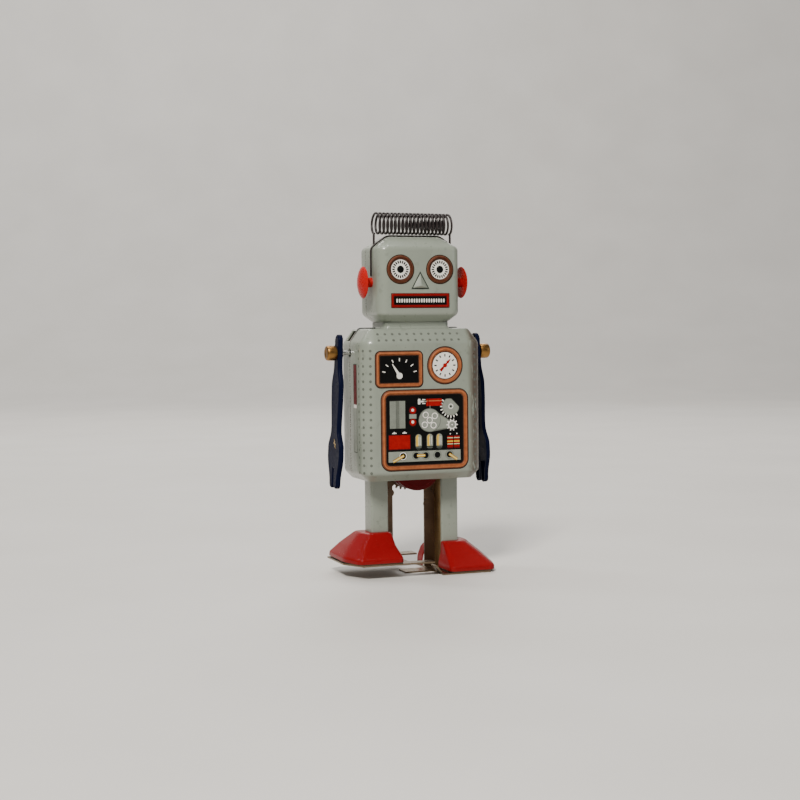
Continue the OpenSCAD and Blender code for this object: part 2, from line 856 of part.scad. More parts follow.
module arm_cap_left() {
    left_side() arm_cap_right();
}

module arm_washers() {
    color([0.60, 0.58, 0.54]) for (s = [-1, 1]) difference() {
        rod_x(s * (arm_x - 0.4) - 0.2, s * (arm_x - 0.4) + 0.2, shaft_y, shaft_z, washer_r);
        rod_x(-far, far, shaft_y, shaft_z, shaft_r);
    }
}

// Points of an arc about the point c
function arc(c, r, a0, a1, n) = [for (i = [0 : n]) let (a = a0 + (a1 - a0) * i / n) c + r * [cos(a), sin(a)]];

// Points that ease from the half width x0 at height y0 to x1 at y1
function ease(x0, y0, x1, y1, n) =
    [for (i = [0 : n]) let (t = i / n) [x0 + (x1 - x0) * (1 - cos(180 * t)) / 2, y0 + (y1 - y0) * t]];

// Right-hand edge of an arm pulled in by d, with its pivot at the origin and its length along -Y
function arm_edge(d) =
    let (tip = arm_top - arm_l)
    concat(
        arc([0, 3.8], 2.2 - d, 80, 0, 6),
        ease(2.4 - d, -4, 4.4 - d, -11, 6),
        ease(4.3 - d, -14, 3.5 - d, tip + 20, 5),
        ease(3.6 - d, tip + 19, hand_r - d, tip + 13, 6),
        ease(hand_r - d, tip + 10.5, 3.9 - d, tip + 1.9, 6),
        arc([2.2, tip + 1.7], 1.7 - d, 0, -180, 8),
        [[0.5 + d, tip + 6.5 + d]]
    );

module arm_outline(d) {
    edge = arm_edge(d);
    polygon(concat(edge, [for (i = [len(edge) - 1 : -1 : 0]) [-edge[i][0], edge[i][1]]]));
}

module arm() {
    translate([arm_x, shaft_y, shaft_z]) difference() {
        rotate([0, -arm_splay, 0]) difference() {
            along_x(0, arm_t) arm_outline(0);
            along_x(-1, arm_t - arm_wall) difference() {
                arm_outline(arm_wall);
                circle(arm_boss_r);
            }
        }
        rod_x(-far, far, 0, 0, shaft_r + run);
    }
}

module arm_right() {
    color([0.04, 0.05, 0.14]) arm();
}

module arm_left() {
    color([0.04, 0.05, 0.14]) left_side() arm();
}

body_front_shell();
body_rear_shell();
body_tabs();
neck_collar();
head_front_shell();
head_rear_shell();
ear_left();
ear_right();
headband_wire();
head_coil();
motor_frame();
front_plate();
arbor_bridge();
frame_spacers();
rear_screws();
spring_drum();
mainspring();
arm_shaft();
arm_cap_left();
arm_cap_right();
arm_washers();
main_arbor();
winding_key();
main_wheel();
ratchet_wheel();
click();
second_arbor();
second_pinion();
contrate_wheel();
crank_shaft();
crank_pinion();
governor_drive_wheel();
crank_disc_left();
crank_disc_right();
crank_washer_left();
crank_washer_right();
governor_arbor();
governor_pinion();
star_wheel();
pallet_arbor();
pallet_anchor();
leg_left();
leg_right();
leg_link_left();
leg_link_right();
leg_rivets_left();
leg_rivets_right();
shoe_left();
shoe_right();
sole_plate_left();
sole_plate_right();
arm_left();
arm_right();
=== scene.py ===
"""A small tin wind-up robot: enamelled shells, printed dials, coil-spring hair, clockwork and tin shoes."""

import contextlib
import math
import random

import bpy
import bmesh
from mathutils import Matrix, Quaternion, Vector


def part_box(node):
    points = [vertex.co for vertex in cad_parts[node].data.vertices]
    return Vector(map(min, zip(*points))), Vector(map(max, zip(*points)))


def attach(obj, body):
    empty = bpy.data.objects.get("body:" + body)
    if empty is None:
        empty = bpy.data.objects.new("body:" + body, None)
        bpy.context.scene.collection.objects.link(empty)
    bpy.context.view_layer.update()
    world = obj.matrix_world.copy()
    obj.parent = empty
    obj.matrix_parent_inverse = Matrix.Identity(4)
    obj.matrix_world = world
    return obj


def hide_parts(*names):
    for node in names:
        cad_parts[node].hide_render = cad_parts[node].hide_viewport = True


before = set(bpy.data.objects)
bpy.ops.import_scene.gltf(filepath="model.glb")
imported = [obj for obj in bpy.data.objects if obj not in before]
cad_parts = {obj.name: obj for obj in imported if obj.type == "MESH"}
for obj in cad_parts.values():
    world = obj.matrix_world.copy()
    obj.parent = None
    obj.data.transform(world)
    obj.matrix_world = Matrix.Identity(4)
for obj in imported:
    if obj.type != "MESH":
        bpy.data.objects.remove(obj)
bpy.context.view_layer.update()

MM = 0.001
SEED = 7
SIDES = ((-1, "left"), (1, "right"))


# ---------------------------------------------------------------- sizes, in millimetres, read from the frame

def box_mm(node):
    low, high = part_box(node)
    return [v / MM for v in low], [v / MM for v in high]


body_low, body_high = box_mm("body_rear_shell")
head_low, head_high = box_mm("head_rear_shell")
leg_low, leg_high = box_mm("leg_right")
cap_low, cap_high = box_mm("arm_cap_right")

TIN = 0.5
BODY_X = body_high[0]
BODY_Y = body_high[1]
BODY_Z = body_low[2]
BODY_TOP = body_high[2]
CHEST_Y = -BODY_Y
CORNER_R = 4.4
SLOPE_H = 4.6
SLOPE_IN = 3.2
SLOPE_LEAN = math.atan2(SLOPE_IN, SLOPE_H)
SLOPE_MIDDLE = (BODY_X - SLOPE_IN / 2, BODY_TOP - SLOPE_H / 2)
SEAM_Y = 1.5
SEAM_GAP = 0.3
SHAFT_Y = SEAM_Y + SEAM_GAP / 2
SHAFT_Z = BODY_Z + 41.4

HEAD_X = head_high[0]
HEAD_Y = head_high[1]
HEAD_Z = head_low[2]
HEAD_TOP = head_high[2]
HEAD_SEAM_Y = 2.6
HEAD_SEAM_GAP = 0.22
FACE_Y = -HEAD_Y
CHIN_H = 2.7
CROWN_H = 3.6
CROWN_IN = 5.2
EAR_Y = -2.8
EAR_Z = HEAD_TOP - 14.7
EYE_Z = HEAD_TOP - 10.7
NOSE_Z = HEAD_TOP - 16.7
MOUTH_Z = HEAD_TOP - 20.75
EYE_X = 6.8

# Middles of the chest panel, the meter and the gauge, as X and Z
PANEL = (0.3, BODY_Z + 16.4)
METER = (-8.4, BODY_Z + 36.1)
GAUGE = (7.4, BODY_Z + 37.1)

# Radii of the holes for the arm shaft, the arms and the leg pins
SHAFT_HOLE_R = 1.5
ARM_HOLE_R = 0.76
PIN_HOLE_R = 0.95
PIN_Z = 43.9

# The arms lean outwards; their inner face meets the shaft at this X
ARM_SPLAY = math.radians(2.5)
ARM_X = cap_low[0] - 1.7
ARM_THICK = 1.5

# The left foot stands raised; a shoe reaches from the first to the last of each pair in X and Y
LIFT = box_mm("sole_plate_left")[0][2]
FEET = ((-1, "left", LIFT), (1, "right", 0))
SHOE_X = (8, 26)
SHOE_Y = (-15, 11)

VIEW_AZIMUTH = math.radians(-20)


# ---------------------------------------------------------------- materials

class Shader:
    """A material with one principled surface, and the steps that the toy's materials share."""

    def __init__(self, name):
        self.material = bpy.data.materials.new(name)
        self.material.use_nodes = True
        self.nodes = self.material.node_tree.nodes
        self.link = self.material.node_tree.links.new
        self.inputs = self.nodes["Principled BSDF"].inputs

    def coords(self):
        return self.nodes.new("ShaderNodeTexCoord").outputs["Object"]

    def noise(self, scale, detail, stretch=(1, 1, 1)):
        """Noise over the object's own coordinates; scale is in features per metre."""
        mapping = self.nodes.new("ShaderNodeMapping")
        mapping.inputs["Scale"].default_value = stretch
        noise = self.nodes.new("ShaderNodeTexNoise")
        noise.inputs["Scale"].default_value = scale
        noise.inputs["Detail"].default_value = detail
        self.link(self.coords(), mapping.inputs["Vector"])
        self.link(mapping.outputs["Vector"], noise.inputs["Vector"])
        return noise.outputs["Fac"]

    def ramp(self, source, stops):
        ramp = self.nodes.new("ShaderNodeValToRGB")
        elements = ramp.color_ramp.elements
        while len(elements) < len(stops):
            elements.new(0.5)
        for element, (place, colour) in zip(elements, stops):
            element.position = place
            element.color = (*colour, 1)
        self.link(source, ramp.inputs["Fac"])
        return ramp.outputs["Color"]

    def mask(self, source, low, high, most=1.0):
        return self.ramp(source, [(low, (0, 0, 0)), (high, (most,) * 3)])

    def mix(self, mask, under, colour):
        """A flat colour laid over another through a mask."""
        mix = self.nodes.new("ShaderNodeMixRGB")
        mix.inputs["Color2"].default_value = (*colour, 1)
        self.link(mask, mix.inputs["Fac"])
        self.link(under, mix.inputs["Color1"])
        return mix.outputs["Color"]

    def combine(self, operation, *values):
        """A math node over sockets and plain numbers."""
        node = self.nodes.new("ShaderNodeMath")
        node.operation = operation
        for socket, value in zip(node.inputs, values):
            if isinstance(value, float):
                socket.default_value = value
            else:
                self.link(value, socket)
        return node.outputs["Value"]

    def paint(self, source, stops):
        self.link(self.ramp(source, stops), self.inputs["Base Color"])

    def vary_roughness(self, source, low, high):
        """Roughness that drifts with a noise; each end is a place on the noise and the roughness there."""
        stops = [(place, (min(1.0, value),) * 3) for place, value in (low, high)]
        self.link(self.ramp(source, stops), self.inputs["Roughness"])

    def bump(self, height, strength, distance):
        node = self.nodes.new("ShaderNodeBump")
        node.inputs["Strength"].default_value = strength
        node.inputs["Distance"].default_value = distance
        self.link(height, node.inputs["Height"])
        self.link(node.outputs["Normal"], self.inputs["Normal"])


def shade(colour, k):
    return tuple(min(1.0, c * k) for c in colour)


def corner_mask(shader):
    """Blotches down the front corner on the +X side, where the enamel is tinted dark brown."""
    split = shader.nodes.new("ShaderNodeSeparateXYZ")
    shader.link(shader.coords(), split.inputs["Vector"])
    fades = []
    for axis, start, end in (("X", 15.2, 17.4), ("Y", -8.3, -9.3)):
        fade = shader.nodes.new("ShaderNodeMapRange")
        fade.inputs["From Min"].default_value = start * MM
        fade.inputs["From Max"].default_value = end * MM
        shader.link(split.outputs[axis], fade.inputs["Value"])
        fades.append(fade.outputs["Result"])
    blotches = shader.mask(shader.noise(900, 6, (1, 1, 0.3)), 0.30, 0.44, 0.92)
    return shader.combine("MULTIPLY", shader.combine("MULTIPLY", *fades), blotches)


def enamel(name, colour, roughness, coat, chips=None, chip_level=0.9, grime=0.72, specular=0.5, corner_tint=None):
    """Baked enamel on tin: slow colour drift, a little grime, orange peel, and chips down to the metal."""
    shader = Shader(name)
    top = shader.ramp(shader.noise(55, 5),
                      [(0.25, shade(colour, 0.86)), (0.5, colour), (0.78, shade(colour, 1.10))])
    top = shader.mix(shader.mask(shader.noise(420, 8), 0.60, 0.80, 0.5), top, shade(colour, grime * 0.6))
    if chips:
        speckle = shader.combine("MULTIPLY_ADD", shader.noise(1500, 3), 0.22, shader.noise(240, 3))
        bare = shader.mask(speckle, chip_level + 0.08, chip_level + 0.095)
        top = shader.mix(bare, top, chips)
        shader.link(bare, shader.inputs["Metallic"])
    if corner_tint:
        top = shader.mix(corner_mask(shader), top, corner_tint)
    shader.link(top, shader.inputs["Base Color"])
    shader.vary_roughness(shader.noise(900, 6), (0.3, roughness * 0.8), (0.75, roughness * 1.45))
    shader.inputs["Specular IOR Level"].default_value = specular
    shader.inputs["Coat Weight"].default_value = coat
    shader.inputs["Coat Roughness"].default_value = 0.12
    shader.bump(shader.noise(1100, 3), 0.10, 0.00012)
    return shader.material


def metal(name, colour, roughness, tarnish, amount):
    """Stamped or turned metal with a fine directional grain and patches of tarnish."""
    shader = Shader(name)
    shader.inputs["Metallic"].default_value = 1.0
    dulled = tuple(c * (1 - amount) + t * amount for c, t in zip(colour, tarnish))
    shader.paint(shader.noise(160, 7), [(0.30, colour), (0.52, shade(colour, 0.88)), (0.86, dulled)])
    brushed = shader.noise(500, 5, (1, 1, 8))
    shader.vary_roughness(brushed, (0.3, roughness * 0.7), (0.8, roughness * 1.6))
    shader.bump(brushed, 0.18, 0.00006)
    return shader.material


def plastic(name, colour, roughness):
    """Moulded plastic, slightly uneven in colour and gloss."""
    shader = Shader(name)
    drift = shader.noise(90, 4)
    shader.paint(drift, [(0.3, shade(colour, 0.88)), (0.75, shade(colour, 1.08))])
    shader.vary_roughness(shader.noise(1600, 5), (0.3, roughness), (0.8, roughness * 1.6))
    shader.inputs["Specular IOR Level"].default_value = 0.09
    shader.bump(drift, 0.05, 0.0001)
    return shader.material


def ink(name, colour, low=0.86, roughness=0.34):
    """Lithographed ink: uneven cover, down to the given share of the colour, with a soft gloss."""
    shader = Shader(name)
    shader.paint(shader.noise(700, 8),
                 [(0.32, shade(colour, low)), (0.6, colour), (0.8, shade(colour, 1.08))])
    fine = shader.noise(1500, 4)
    shader.vary_roughness(fine, (0.3, roughness * 0.8), (0.8, roughness * 1.5))
    shader.inputs["Specular IOR Level"].default_value = 0.08
    shader.bump(fine, 0.06, 0.00005)
    return shader.material


GREY = (0.225, 0.252, 0.205)
WORN_TIN = (0.50, 0.46, 0.40)
MATERIALS = {
    "shell": enamel("shell_enamel", GREY, 0.33, 0.45, WORN_TIN),
    "body": enamel("body_enamel", GREY, 0.33, 0.45, WORN_TIN, corner_tint=(0.060, 0.036, 0.020)),
    "inside": metal("tin_inside", (0.42, 0.29, 0.14), 0.42, (0.13, 0.07, 0.03), 0.7),
    "edge": metal("tin_edge", (0.78, 0.74, 0.66), 0.25, (0.35, 0.26, 0.16), 0.4),
    "tin": metal("bare_tin", (0.55, 0.53, 0.49), 0.38, (0.24, 0.19, 0.14), 0.5),
    "gilt": metal("gilt_tin", (0.24, 0.18, 0.12), 0.30, (0.20, 0.13, 0.07), 0.6),
    "chip": metal("bare_chip", (0.62, 0.42, 0.14), 0.35, (0.30, 0.18, 0.06), 0.4),
    "steel": metal("steel", (0.60, 0.60, 0.58), 0.28, (0.25, 0.20, 0.15), 0.35),
    "brass": metal("gear_brass", (0.70, 0.50, 0.20), 0.30, (0.30, 0.17, 0.06), 0.4),
    "cap": metal("cap_brass", (0.32, 0.165, 0.05), 0.34, (0.13, 0.07, 0.03), 0.75),
    "dark_steel": metal("dark_steel", (0.115, 0.075, 0.05), 0.42, (0.05, 0.03, 0.02), 0.6),
    "blued": metal("spring_steel", (0.16, 0.17, 0.21), 0.30, (0.08, 0.06, 0.05), 0.5),
    "wire": enamel("dark_wire", (0.010, 0.004, 0.004), 0.42, 0.0, grime=1.0),
    # Near-black, used for the painted shadow along the top seam.
    "black": enamel("seam_shadow_black", (0.020, 0.020, 0.021), 0.45, 0.2, grime=1.6),
    "drum": enamel("drum_red", (0.09, 0.005, 0.006), 0.4, 0.0, (0.35, 0.3, 0.25), 0.86, specular=0.06),
    "red": enamel("red_enamel", (0.225, 0.006, 0.008), 0.20, 0.0, (0.55, 0.50, 0.44), 0.9, 0.9, 0.10),
    "navy": enamel("navy_enamel", (0.003, 0.0045, 0.019), 0.32, 0.0, (0.62, 0.45, 0.20), 0.83, 1.6, 0.025),
    "plastic": plastic("red_plastic", (0.42, 0.010, 0.008), 0.22),
    "copper": ink("copper_ink", (0.29, 0.085, 0.030), 0.70),
    # The lighter copper is painted highlight on the raised frames; on the motor it is a printed stripe.
    "copper_light": ink("copper_highlight_ink", (0.40, 0.13, 0.05), 0.80),
    "umber": ink("umber_ink", (0.065, 0.019, 0.010), 0.70),
    # The lighter umber is painted highlight on the eye rings.
    "umber_light": ink("umber_highlight_ink", (0.12, 0.037, 0.017), 0.75),
    "outline": ink("outline_ink", (0.035, 0.018, 0.012)),
    "ink_black": ink("black_ink", (0.003, 0.003, 0.003), 0.7, 0.5),
    "ink_white": ink("white_ink", (0.78, 0.76, 0.70), 0.93),
    "ink_grey": ink("grey_ink", (0.24, 0.26, 0.22), 0.88),
    "ink_mid": ink("mid_grey_ink", (0.12, 0.13, 0.11), 0.85),
    "ink_dark": ink("dark_grey_ink", (0.040, 0.048, 0.040), 0.85),
    "ink_red": ink("red_ink", (0.30, 0.006, 0.006), 0.82),
    "ink_frame": ink("mouth_red_ink", (0.20, 0.005, 0.006), 0.82),
    "ink_deep": ink("deep_red_ink", (0.11, 0.004, 0.006), 0.8),
    "ink_yellow": ink("yellow_ink", (0.66, 0.40, 0.035), 0.85),
    "ink_pale": ink("pale_yellow_ink", (0.66, 0.62, 0.36), 0.88),
    "ink_brown": ink("brown_ink", (0.15, 0.055, 0.030), 0.8),
}


# ---------------------------------------------------------------- points, in millimetres

def polar(r, degrees, cx=0.0, cy=0.0):
    a = math.radians(degrees)
    return cx + r * math.cos(a), cy + r * math.sin(a)


def arc(cx, cy, r, start, end, steps):
    """Points round a circle from one angle in degrees to another, with both ends."""
    return [polar(r, start + (end - start) * i / steps, cx, cy) for i in range(steps + 1)]


def circle(r, count, cx=0.0, cy=0.0):
    return [polar(r, 360 * k / count, cx, cy) for k in range(count)]


def rounded_ring(hx, hy, r, z, steps=8, centre=(0, 0)):
    """Points round a rounded rectangle in the X-Y plane."""
    r = max(0.05, min(r, hx, hy))
    points = []
    for quarter, (sx, sy) in enumerate([(1, 1), (-1, 1), (-1, -1), (1, -1)]):
        cx, cy = centre[0] + sx * (hx - r), centre[1] + sy * (hy - r)
        points += [(x, y, z) for x, y in arc(cx, cy, r, 90 * quarter, 90 * quarter + 90, steps)]
    return points


def corner_curve(before, corner, after, reach, most, steps):
    """A curve in place of a corner: it reaches along each leg, but no further than a share of the leg."""
    ends = []
    for other in (before, after):
        length = math.dist(corner, other)
        k = min(reach / length, most) if length else 0
        ends.append([c + (o - c) * k for c, o in zip(corner, other)])
    curve = []
    for i in range(steps + 1):
        t = i / steps
        curve.append(tuple((1 - t) ** 2 * a + 2 * t * (1 - t) * c + t * t * b
                           for a, c, b in zip(ends[0], corner, ends[1])))
    return curve


def smooth_corners(points, reach, steps=4):
    """Round the corners of a polyline of tuples; the two end points stay."""
    out = [points[0]]
    for before, corner, after in zip(points, points[1:], points[2:]):
        out += corner_curve(before, corner, after, reach, 0.45, steps)
    return out + [points[-1]]


def loft(rings, cap_start=False, cap_end=False, closed=True):
    """Points and faces that join rings of equal length, one after the other."""
    n = len(rings[0])
    verts = [p for ring in rings for p in ring]
    faces = []
    for i in range(len(rings) - 1):
        for k in range(n if closed else n - 1):
            a, b = i * n + k, i * n + (k + 1) % n
            faces.append((a, b, b + n, a + n))
    if cap_start:
        faces.append(tuple(range(n - 1, -1, -1)))
    if cap_end:
        faces.append(tuple(range((len(rings) - 1) * n, len(rings) * n)))
    return verts, faces


def add_solid(verts, faces, rings):
    """Add a loft with both ends closed to lists that hold other shapes too; returns its number of faces."""
    start = len(verts)
    new_verts, new_faces = loft(rings, True, True)
    verts += new_verts
    faces += [tuple(start + i for i in face) for face in new_faces]
    return len(new_faces)


# ---------------------------------------------------------------- mesh helpers

@contextlib.contextmanager
def editing(mesh):
    work = bmesh.new()
    work.from_mesh(mesh)
    yield work
    work.to_mesh(mesh)
    work.free()


def link_mesh(name, verts, faces, keys, face_keys=None, body="torso", sharp=38):
    """A mesh from millimetre points, smooth except at edges sharper than the given angle."""
    mesh = bpy.data.meshes.new(name)
    mesh.from_pydata([(x * MM, y * MM, z * MM) for x, y, z in verts], [], faces)
    for key in keys:
        mesh.materials.append(MATERIALS[key])
    if face_keys:
        for polygon, key in zip(mesh.polygons, face_keys):
            polygon.material_index = keys.index(key)
    with editing(mesh) as work:
        bmesh.ops.recalc_face_normals(work, faces=work.faces)
    mesh.shade_smooth()
    mesh.set_sharp_from_angle(angle=math.radians(sharp))
    piece = bpy.data.objects.new(name, mesh)
    bpy.context.collection.objects.link(piece)
    if body:
        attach(piece, body)
    return piece


def apply_modifiers(piece, sharp=38):
    graph = bpy.context.evaluated_depsgraph_get()
    mesh = bpy.data.meshes.new_from_object(piece.evaluated_get(graph))
    piece.modifiers.clear()
    old = piece.data
    piece.data = mesh
    bpy.data.meshes.remove(old)
    mesh.shade_smooth()
    mesh.set_sharp_from_angle(angle=math.radians(sharp))


def thicken(piece, thickness, inner_key, rim_key):
    """Give a surface its thickness, inwards, with the inner face and the rim in their own materials."""
    count = len(piece.data.materials)
    for key in (inner_key, rim_key):
        for _ in range(count):
            piece.data.materials.append(MATERIALS[key])
    solid = piece.modifiers.new("tin", "SOLIDIFY")
    solid.thickness = thickness * MM
    solid.offset = -1
    solid.use_even_offset = True
    solid.material_offset = count
    solid.material_offset_rim = 2 * count
    apply_modifiers(piece)


def cut(piece, low, high, tilt=0.0, cylinder_axis=None):
    """Cut a box, or the cylinder that fits it along an axis, out of a piece."""
    centre = Vector([(a + b) / 2 * MM for a, b in zip(low, high)])
    size = [(b - a) * MM for a, b in zip(low, high)]
    mesh = bpy.data.meshes.new("cutter")
    with editing(mesh) as work:
        if cylinder_axis is None:
            bmesh.ops.create_cube(work, size=1)
            bmesh.ops.scale(work, vec=size, verts=work.verts)
            turn = Matrix.Rotation(tilt, 4, "Y")
        else:
            length = size[cylinder_axis]
            radius = size[(cylinder_axis + 1) % 3] / 2
            bmesh.ops.create_cone(work, cap_ends=True, segments=40, radius1=radius, radius2=radius,
                                  depth=length)
            axis = Vector([1 if i == cylinder_axis else 0 for i in range(3)])
            turn = axis.to_track_quat("Z", "Y").to_matrix().to_4x4()
        bmesh.ops.transform(work, matrix=Matrix.Translation(centre) @ turn, verts=work.verts)
    cutter = bpy.data.objects.new("cutter", mesh)
    bpy.context.collection.objects.link(cutter)
    boolean = piece.modifiers.new("cut", "BOOLEAN")
    boolean.operation = "DIFFERENCE"
    boolean.solver = "EXACT"
    boolean.object = cutter
    bpy.context.view_layer.update()
    apply_modifiers(piece)
    bpy.data.objects.remove(cutter)
    bpy.data.meshes.remove(mesh)


def drill(piece, y, z, radius, reach=40):
    """Cut a round hole along X, from -reach to +reach."""
    cut(piece, (-reach, y - radius, z - radius), (reach, y + radius, z + radius), cylinder_axis=0)


def keep_side(piece, y, front):
    """Keep what lies in front of the plane at y, or behind it."""
    with editing(piece.data) as work:
        geometry = work.verts[:] + work.edges[:] + work.faces[:]
        bmesh.ops.bisect_plane(work, geom=geometry, plane_co=(0, y * MM, 0),
                               plane_no=(0, 1 if front else -1, 0), clear_outer=True)


def lathe(name, profile, origin, axis, keys, body, segments):
    """Turn a profile of (radius, distance along the axis) points about an axis through origin."""
    axis = Vector(axis)
    side = axis.orthogonal().normalized()
    other = axis.cross(side)
    unit = circle(1, segments)
    rings = [[tuple(Vector(origin) + axis * along + (side * c + other * s) * max(r, 0.01)) for c, s in unit]
             for r, along in profile]
    verts, faces = loft(rings, True, True)
    return link_mesh(name, verts, faces, keys, None, body)


def tube(name, path, radius, key, body, sides=10, start_normal=(0, 1, 0)):
    """A round wire along a path of millimetre points, with its ends closed."""
    points = [Vector(p) for p in path]
    normal = Vector(start_normal)
    unit = circle(1, sides)
    rings = []
    for i, p in enumerate(points):
        tangent = (points[min(i + 1, len(points) - 1)] - points[max(i - 1, 0)]).normalized()
        normal = (normal - tangent * normal.dot(tangent)).normalized()
        other = tangent.cross(normal)
        rings.append([tuple(p + (normal * c + other * s) * radius) for c, s in unit])
    verts, faces = loft(rings, True, True)
    return link_mesh(name, verts, faces, [key], None, body, sharp=60)


# ---------------------------------------------------------------- printing on tin

class Print:
    """Flat ink shapes laid on a front face, each layer a hair prouder than the last."""

    def __init__(self, y, cx=0.0, cz=0.0):
        self.y, self.cx, self.cz = y, cx, cz
        self.verts, self.faces, self.face_keys, self.keys = [], [], [], []

    def prism(self, points, layer, key):
        if key not in self.keys:
            self.keys.append(key)
        area = sum(a[0] * b[1] - b[0] * a[1] for a, b in zip(points, points[1:] + points[:1]))
        if area < 0:
            points = points[::-1]
        rings = [[(self.cx + x, self.y - lift, self.cz + z) for x, z in points]
                 for lift in (-0.03, 0.02 + 0.014 * layer)]
        self.face_keys += [key] * add_solid(self.verts, self.faces, rings)

    def disc(self, x, z, r, layer, key, n=32):
        self.prism(circle(r, n, x, z), layer, key)

    def rect(self, x0, z0, x1, z1, layer, key, r=0.0):
        if r:
            ring = rounded_ring((x1 - x0) / 2, (z1 - z0) / 2, r, 0, 5, ((x0 + x1) / 2, (z0 + z1) / 2))
            self.prism([(p[0], p[1]) for p in ring], layer, key)
        else:
            self.prism([(x0, z0), (x1, z0), (x1, z1), (x0, z1)], layer, key)

    def line(self, x0, z0, x1, z1, width, layer, key, end_width=None):
        end_width = width if end_width is None else end_width
        length = math.dist((x0, z0), (x1, z1))
        nx, nz = -(z1 - z0) / length / 2, (x1 - x0) / length / 2
        self.prism([(x0 + nx * width, z0 + nz * width), (x0 - nx * width, z0 - nz * width),
                    (x1 - nx * end_width, z1 - nz * end_width), (x1 + nx * end_width, z1 + nz * end_width)],
                   layer, key)

    def ticks(self, x, z, r0, r1, angles, width, layer, key):
        for a in angles:
            self.line(*polar(r0, a, x, z), *polar(r1, a, x, z), width, layer, key)

    def gear(self, x, z, root, tip, teeth, layer, key, keep=lambda x, z: True):
        """Teeth round a circle, leaving out those that keep() refuses."""
        width = 0.55 * 2 * math.pi * root / teeth
        for foot, top in zip(circle(root - 0.3, teeth, x, z), circle(tip, teeth, x, z)):
            if keep(*top):
                self.line(*foot, *top, width, layer, key, width * 0.6)

    def make(self, name, body):
        return link_mesh(name, self.verts, self.faces, self.keys, self.face_keys, body, sharp=20)


def frame_band(name, y, cx, cz, hx, hz, r, width, height, body, key="copper", light="copper_light",
               round_shape=False):
    """A raised frame with a rounded section, bordered by dark printed lines, with a lighter stripe on its
    outer slope as painted highlight.
    """
    base = 0.03
    section = [(-0.28, -base, "outline"), (-0.28, 0.025, "outline"), (0.0, 0.03, "outline"),
               (0.02, 0.06, "ink_brown")]
    steps = 10
    # The two lighter steps on the outer slope of the ridge are painted highlight.
    section_keys = ["ink_brown"] + [key] + [light] * 2 + [key] * (steps - 6) + ["ink_brown"]
    for i, section_key in enumerate(section_keys, 1):
        t = i / steps
        section.append((width * t, 0.06 + (height - 0.06) * math.sin(math.pi * t) ** 0.7, section_key))
    section += [(width, 0.06, "outline"), (width + 0.22, 0.05, "outline"), (width + 0.22, -base, "outline")]
    rings = []
    for inset, rise, _ in section:
        if round_shape:
            ring = circle(hx - inset, 64)
        else:
            ring = rounded_ring(hx - inset, hz - inset, max(r - inset, 0.35), 0, 8)
        rings.append([(cx + p[0], y - rise, cz + p[1]) for p in ring])
    keys = [section_key for _, _, section_key in section]
    rings.append(rings[0])
    verts, faces = loft(rings)
    face_keys = [keys[i // len(rings[0])] for i in range(len(faces))]
    piece = link_mesh(name, verts, faces, sorted(set(keys)), face_keys, body, sharp=50)
    with editing(piece.data) as work:
        bmesh.ops.remove_doubles(work, verts=work.verts, dist=1e-7)
        bmesh.ops.recalc_face_normals(work, faces=work.faces)
    return piece


# ---------------------------------------------------------------- body

def body_surface(name):
    """Outer skin of the body, open at the bottom and at the neck."""
    levels = [(BODY_Z, 2.4), (BODY_Z + 2.5, 0), (BODY_TOP - SLOPE_H, 0), (BODY_TOP, SLOPE_IN),
              (BODY_TOP, SLOPE_IN + 2)]
    levels = smooth_corners(levels, 0.9, 5)
    rings = [rounded_ring(17, 8.8, 1.0, BODY_Z)]
    rings += [rounded_ring(BODY_X - inset, BODY_Y - inset, max(CORNER_R - inset * 0.8, 0.9), z)
              for z, inset in levels]
    rings.append(rounded_ring(10, 6, 1.0, BODY_TOP))
    verts, faces = loft(rings)
    return link_mesh(name, verts, faces, ["body"], None, None)


def make_body_shells():
    for name, node, front in (("body_front", "body_front_shell", True),
                              ("body_rear", "body_rear_shell", False)):
        piece = body_surface(name)
        keep_side(piece, SEAM_Y if front else SEAM_Y + SEAM_GAP, front)
        thicken(piece, TIN, "inside", "edge")
        drill(piece, SHAFT_Y, SHAFT_Z, SHAFT_HOLE_R)
        if not front:
            for side, _ in SIDES:
                x, z = side * SLOPE_MIDDLE[0], SLOPE_MIDDLE[1]
                slot_depth = 6.6
                cut(piece, (x - 1.0, 0, z - 2.0), (x + 1.0, slot_depth, z + 2.0), tilt=-side * SLOPE_LEAN)
            key_hole_r, key_z = 3, 35
            cut(piece, (-key_hole_r, 5, key_z - key_hole_r), (key_hole_r, 15, key_z + key_hole_r),
                cylinder_axis=1)
        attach(piece, "torso")
        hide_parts(node)


def make_shoulder_strips():
    """Bent strips that show in the slots of the shoulders, and a near-black tube along the top seam as
    painted shadow in the gap between the shells.
    """
    for side, name in SIDES:
        along = Vector((-side * math.sin(SLOPE_LEAN), 0, math.cos(SLOPE_LEAN)))
        out = Vector((side * math.cos(SLOPE_LEAN), 0, math.sin(SLOPE_LEAN)))
        middle = Vector((side * SLOPE_MIDDLE[0], 0, SLOPE_MIDDLE[1]))
        section = smooth_corners([(4.1, -1.6), (4.1, -0.5), (5.1, -0.5), (5.1, -1.6)], 0.3, 3)
        inner = [(y + (0.2 if y < 4.6 else -0.2), h - (0.2 if h > -1.2 else 0)) for y, h in section[::-1]]
        rings = [[tuple(middle + along * t + out * h + Vector((0, y, 0))) for y, h in section + inner]
                 for t in (-2.6, 0, 2.6)]
        verts, faces = loft(rings, True, True)
        piece = link_mesh(f"shoulder_strip_{name}", verts, faces, ["edge"], None, "torso")
    # A near-black tube along the top seam: painted shadow in the gap between the front and rear shells.
    foot = (BODY_X - 0.6, BODY_TOP - SLOPE_H + 0.4)
    top = (BODY_X - SLOPE_IN, BODY_TOP + 0.05)
    route = smooth_corners([(-foot[0], foot[1]), (-top[0], top[1]), top, foot], 0.6, 4)
    piece = tube("top_seam_shadow", [(x, SEAM_Y + 0.25, z) for x, z in route], 0.34, "black", "torso", 8)


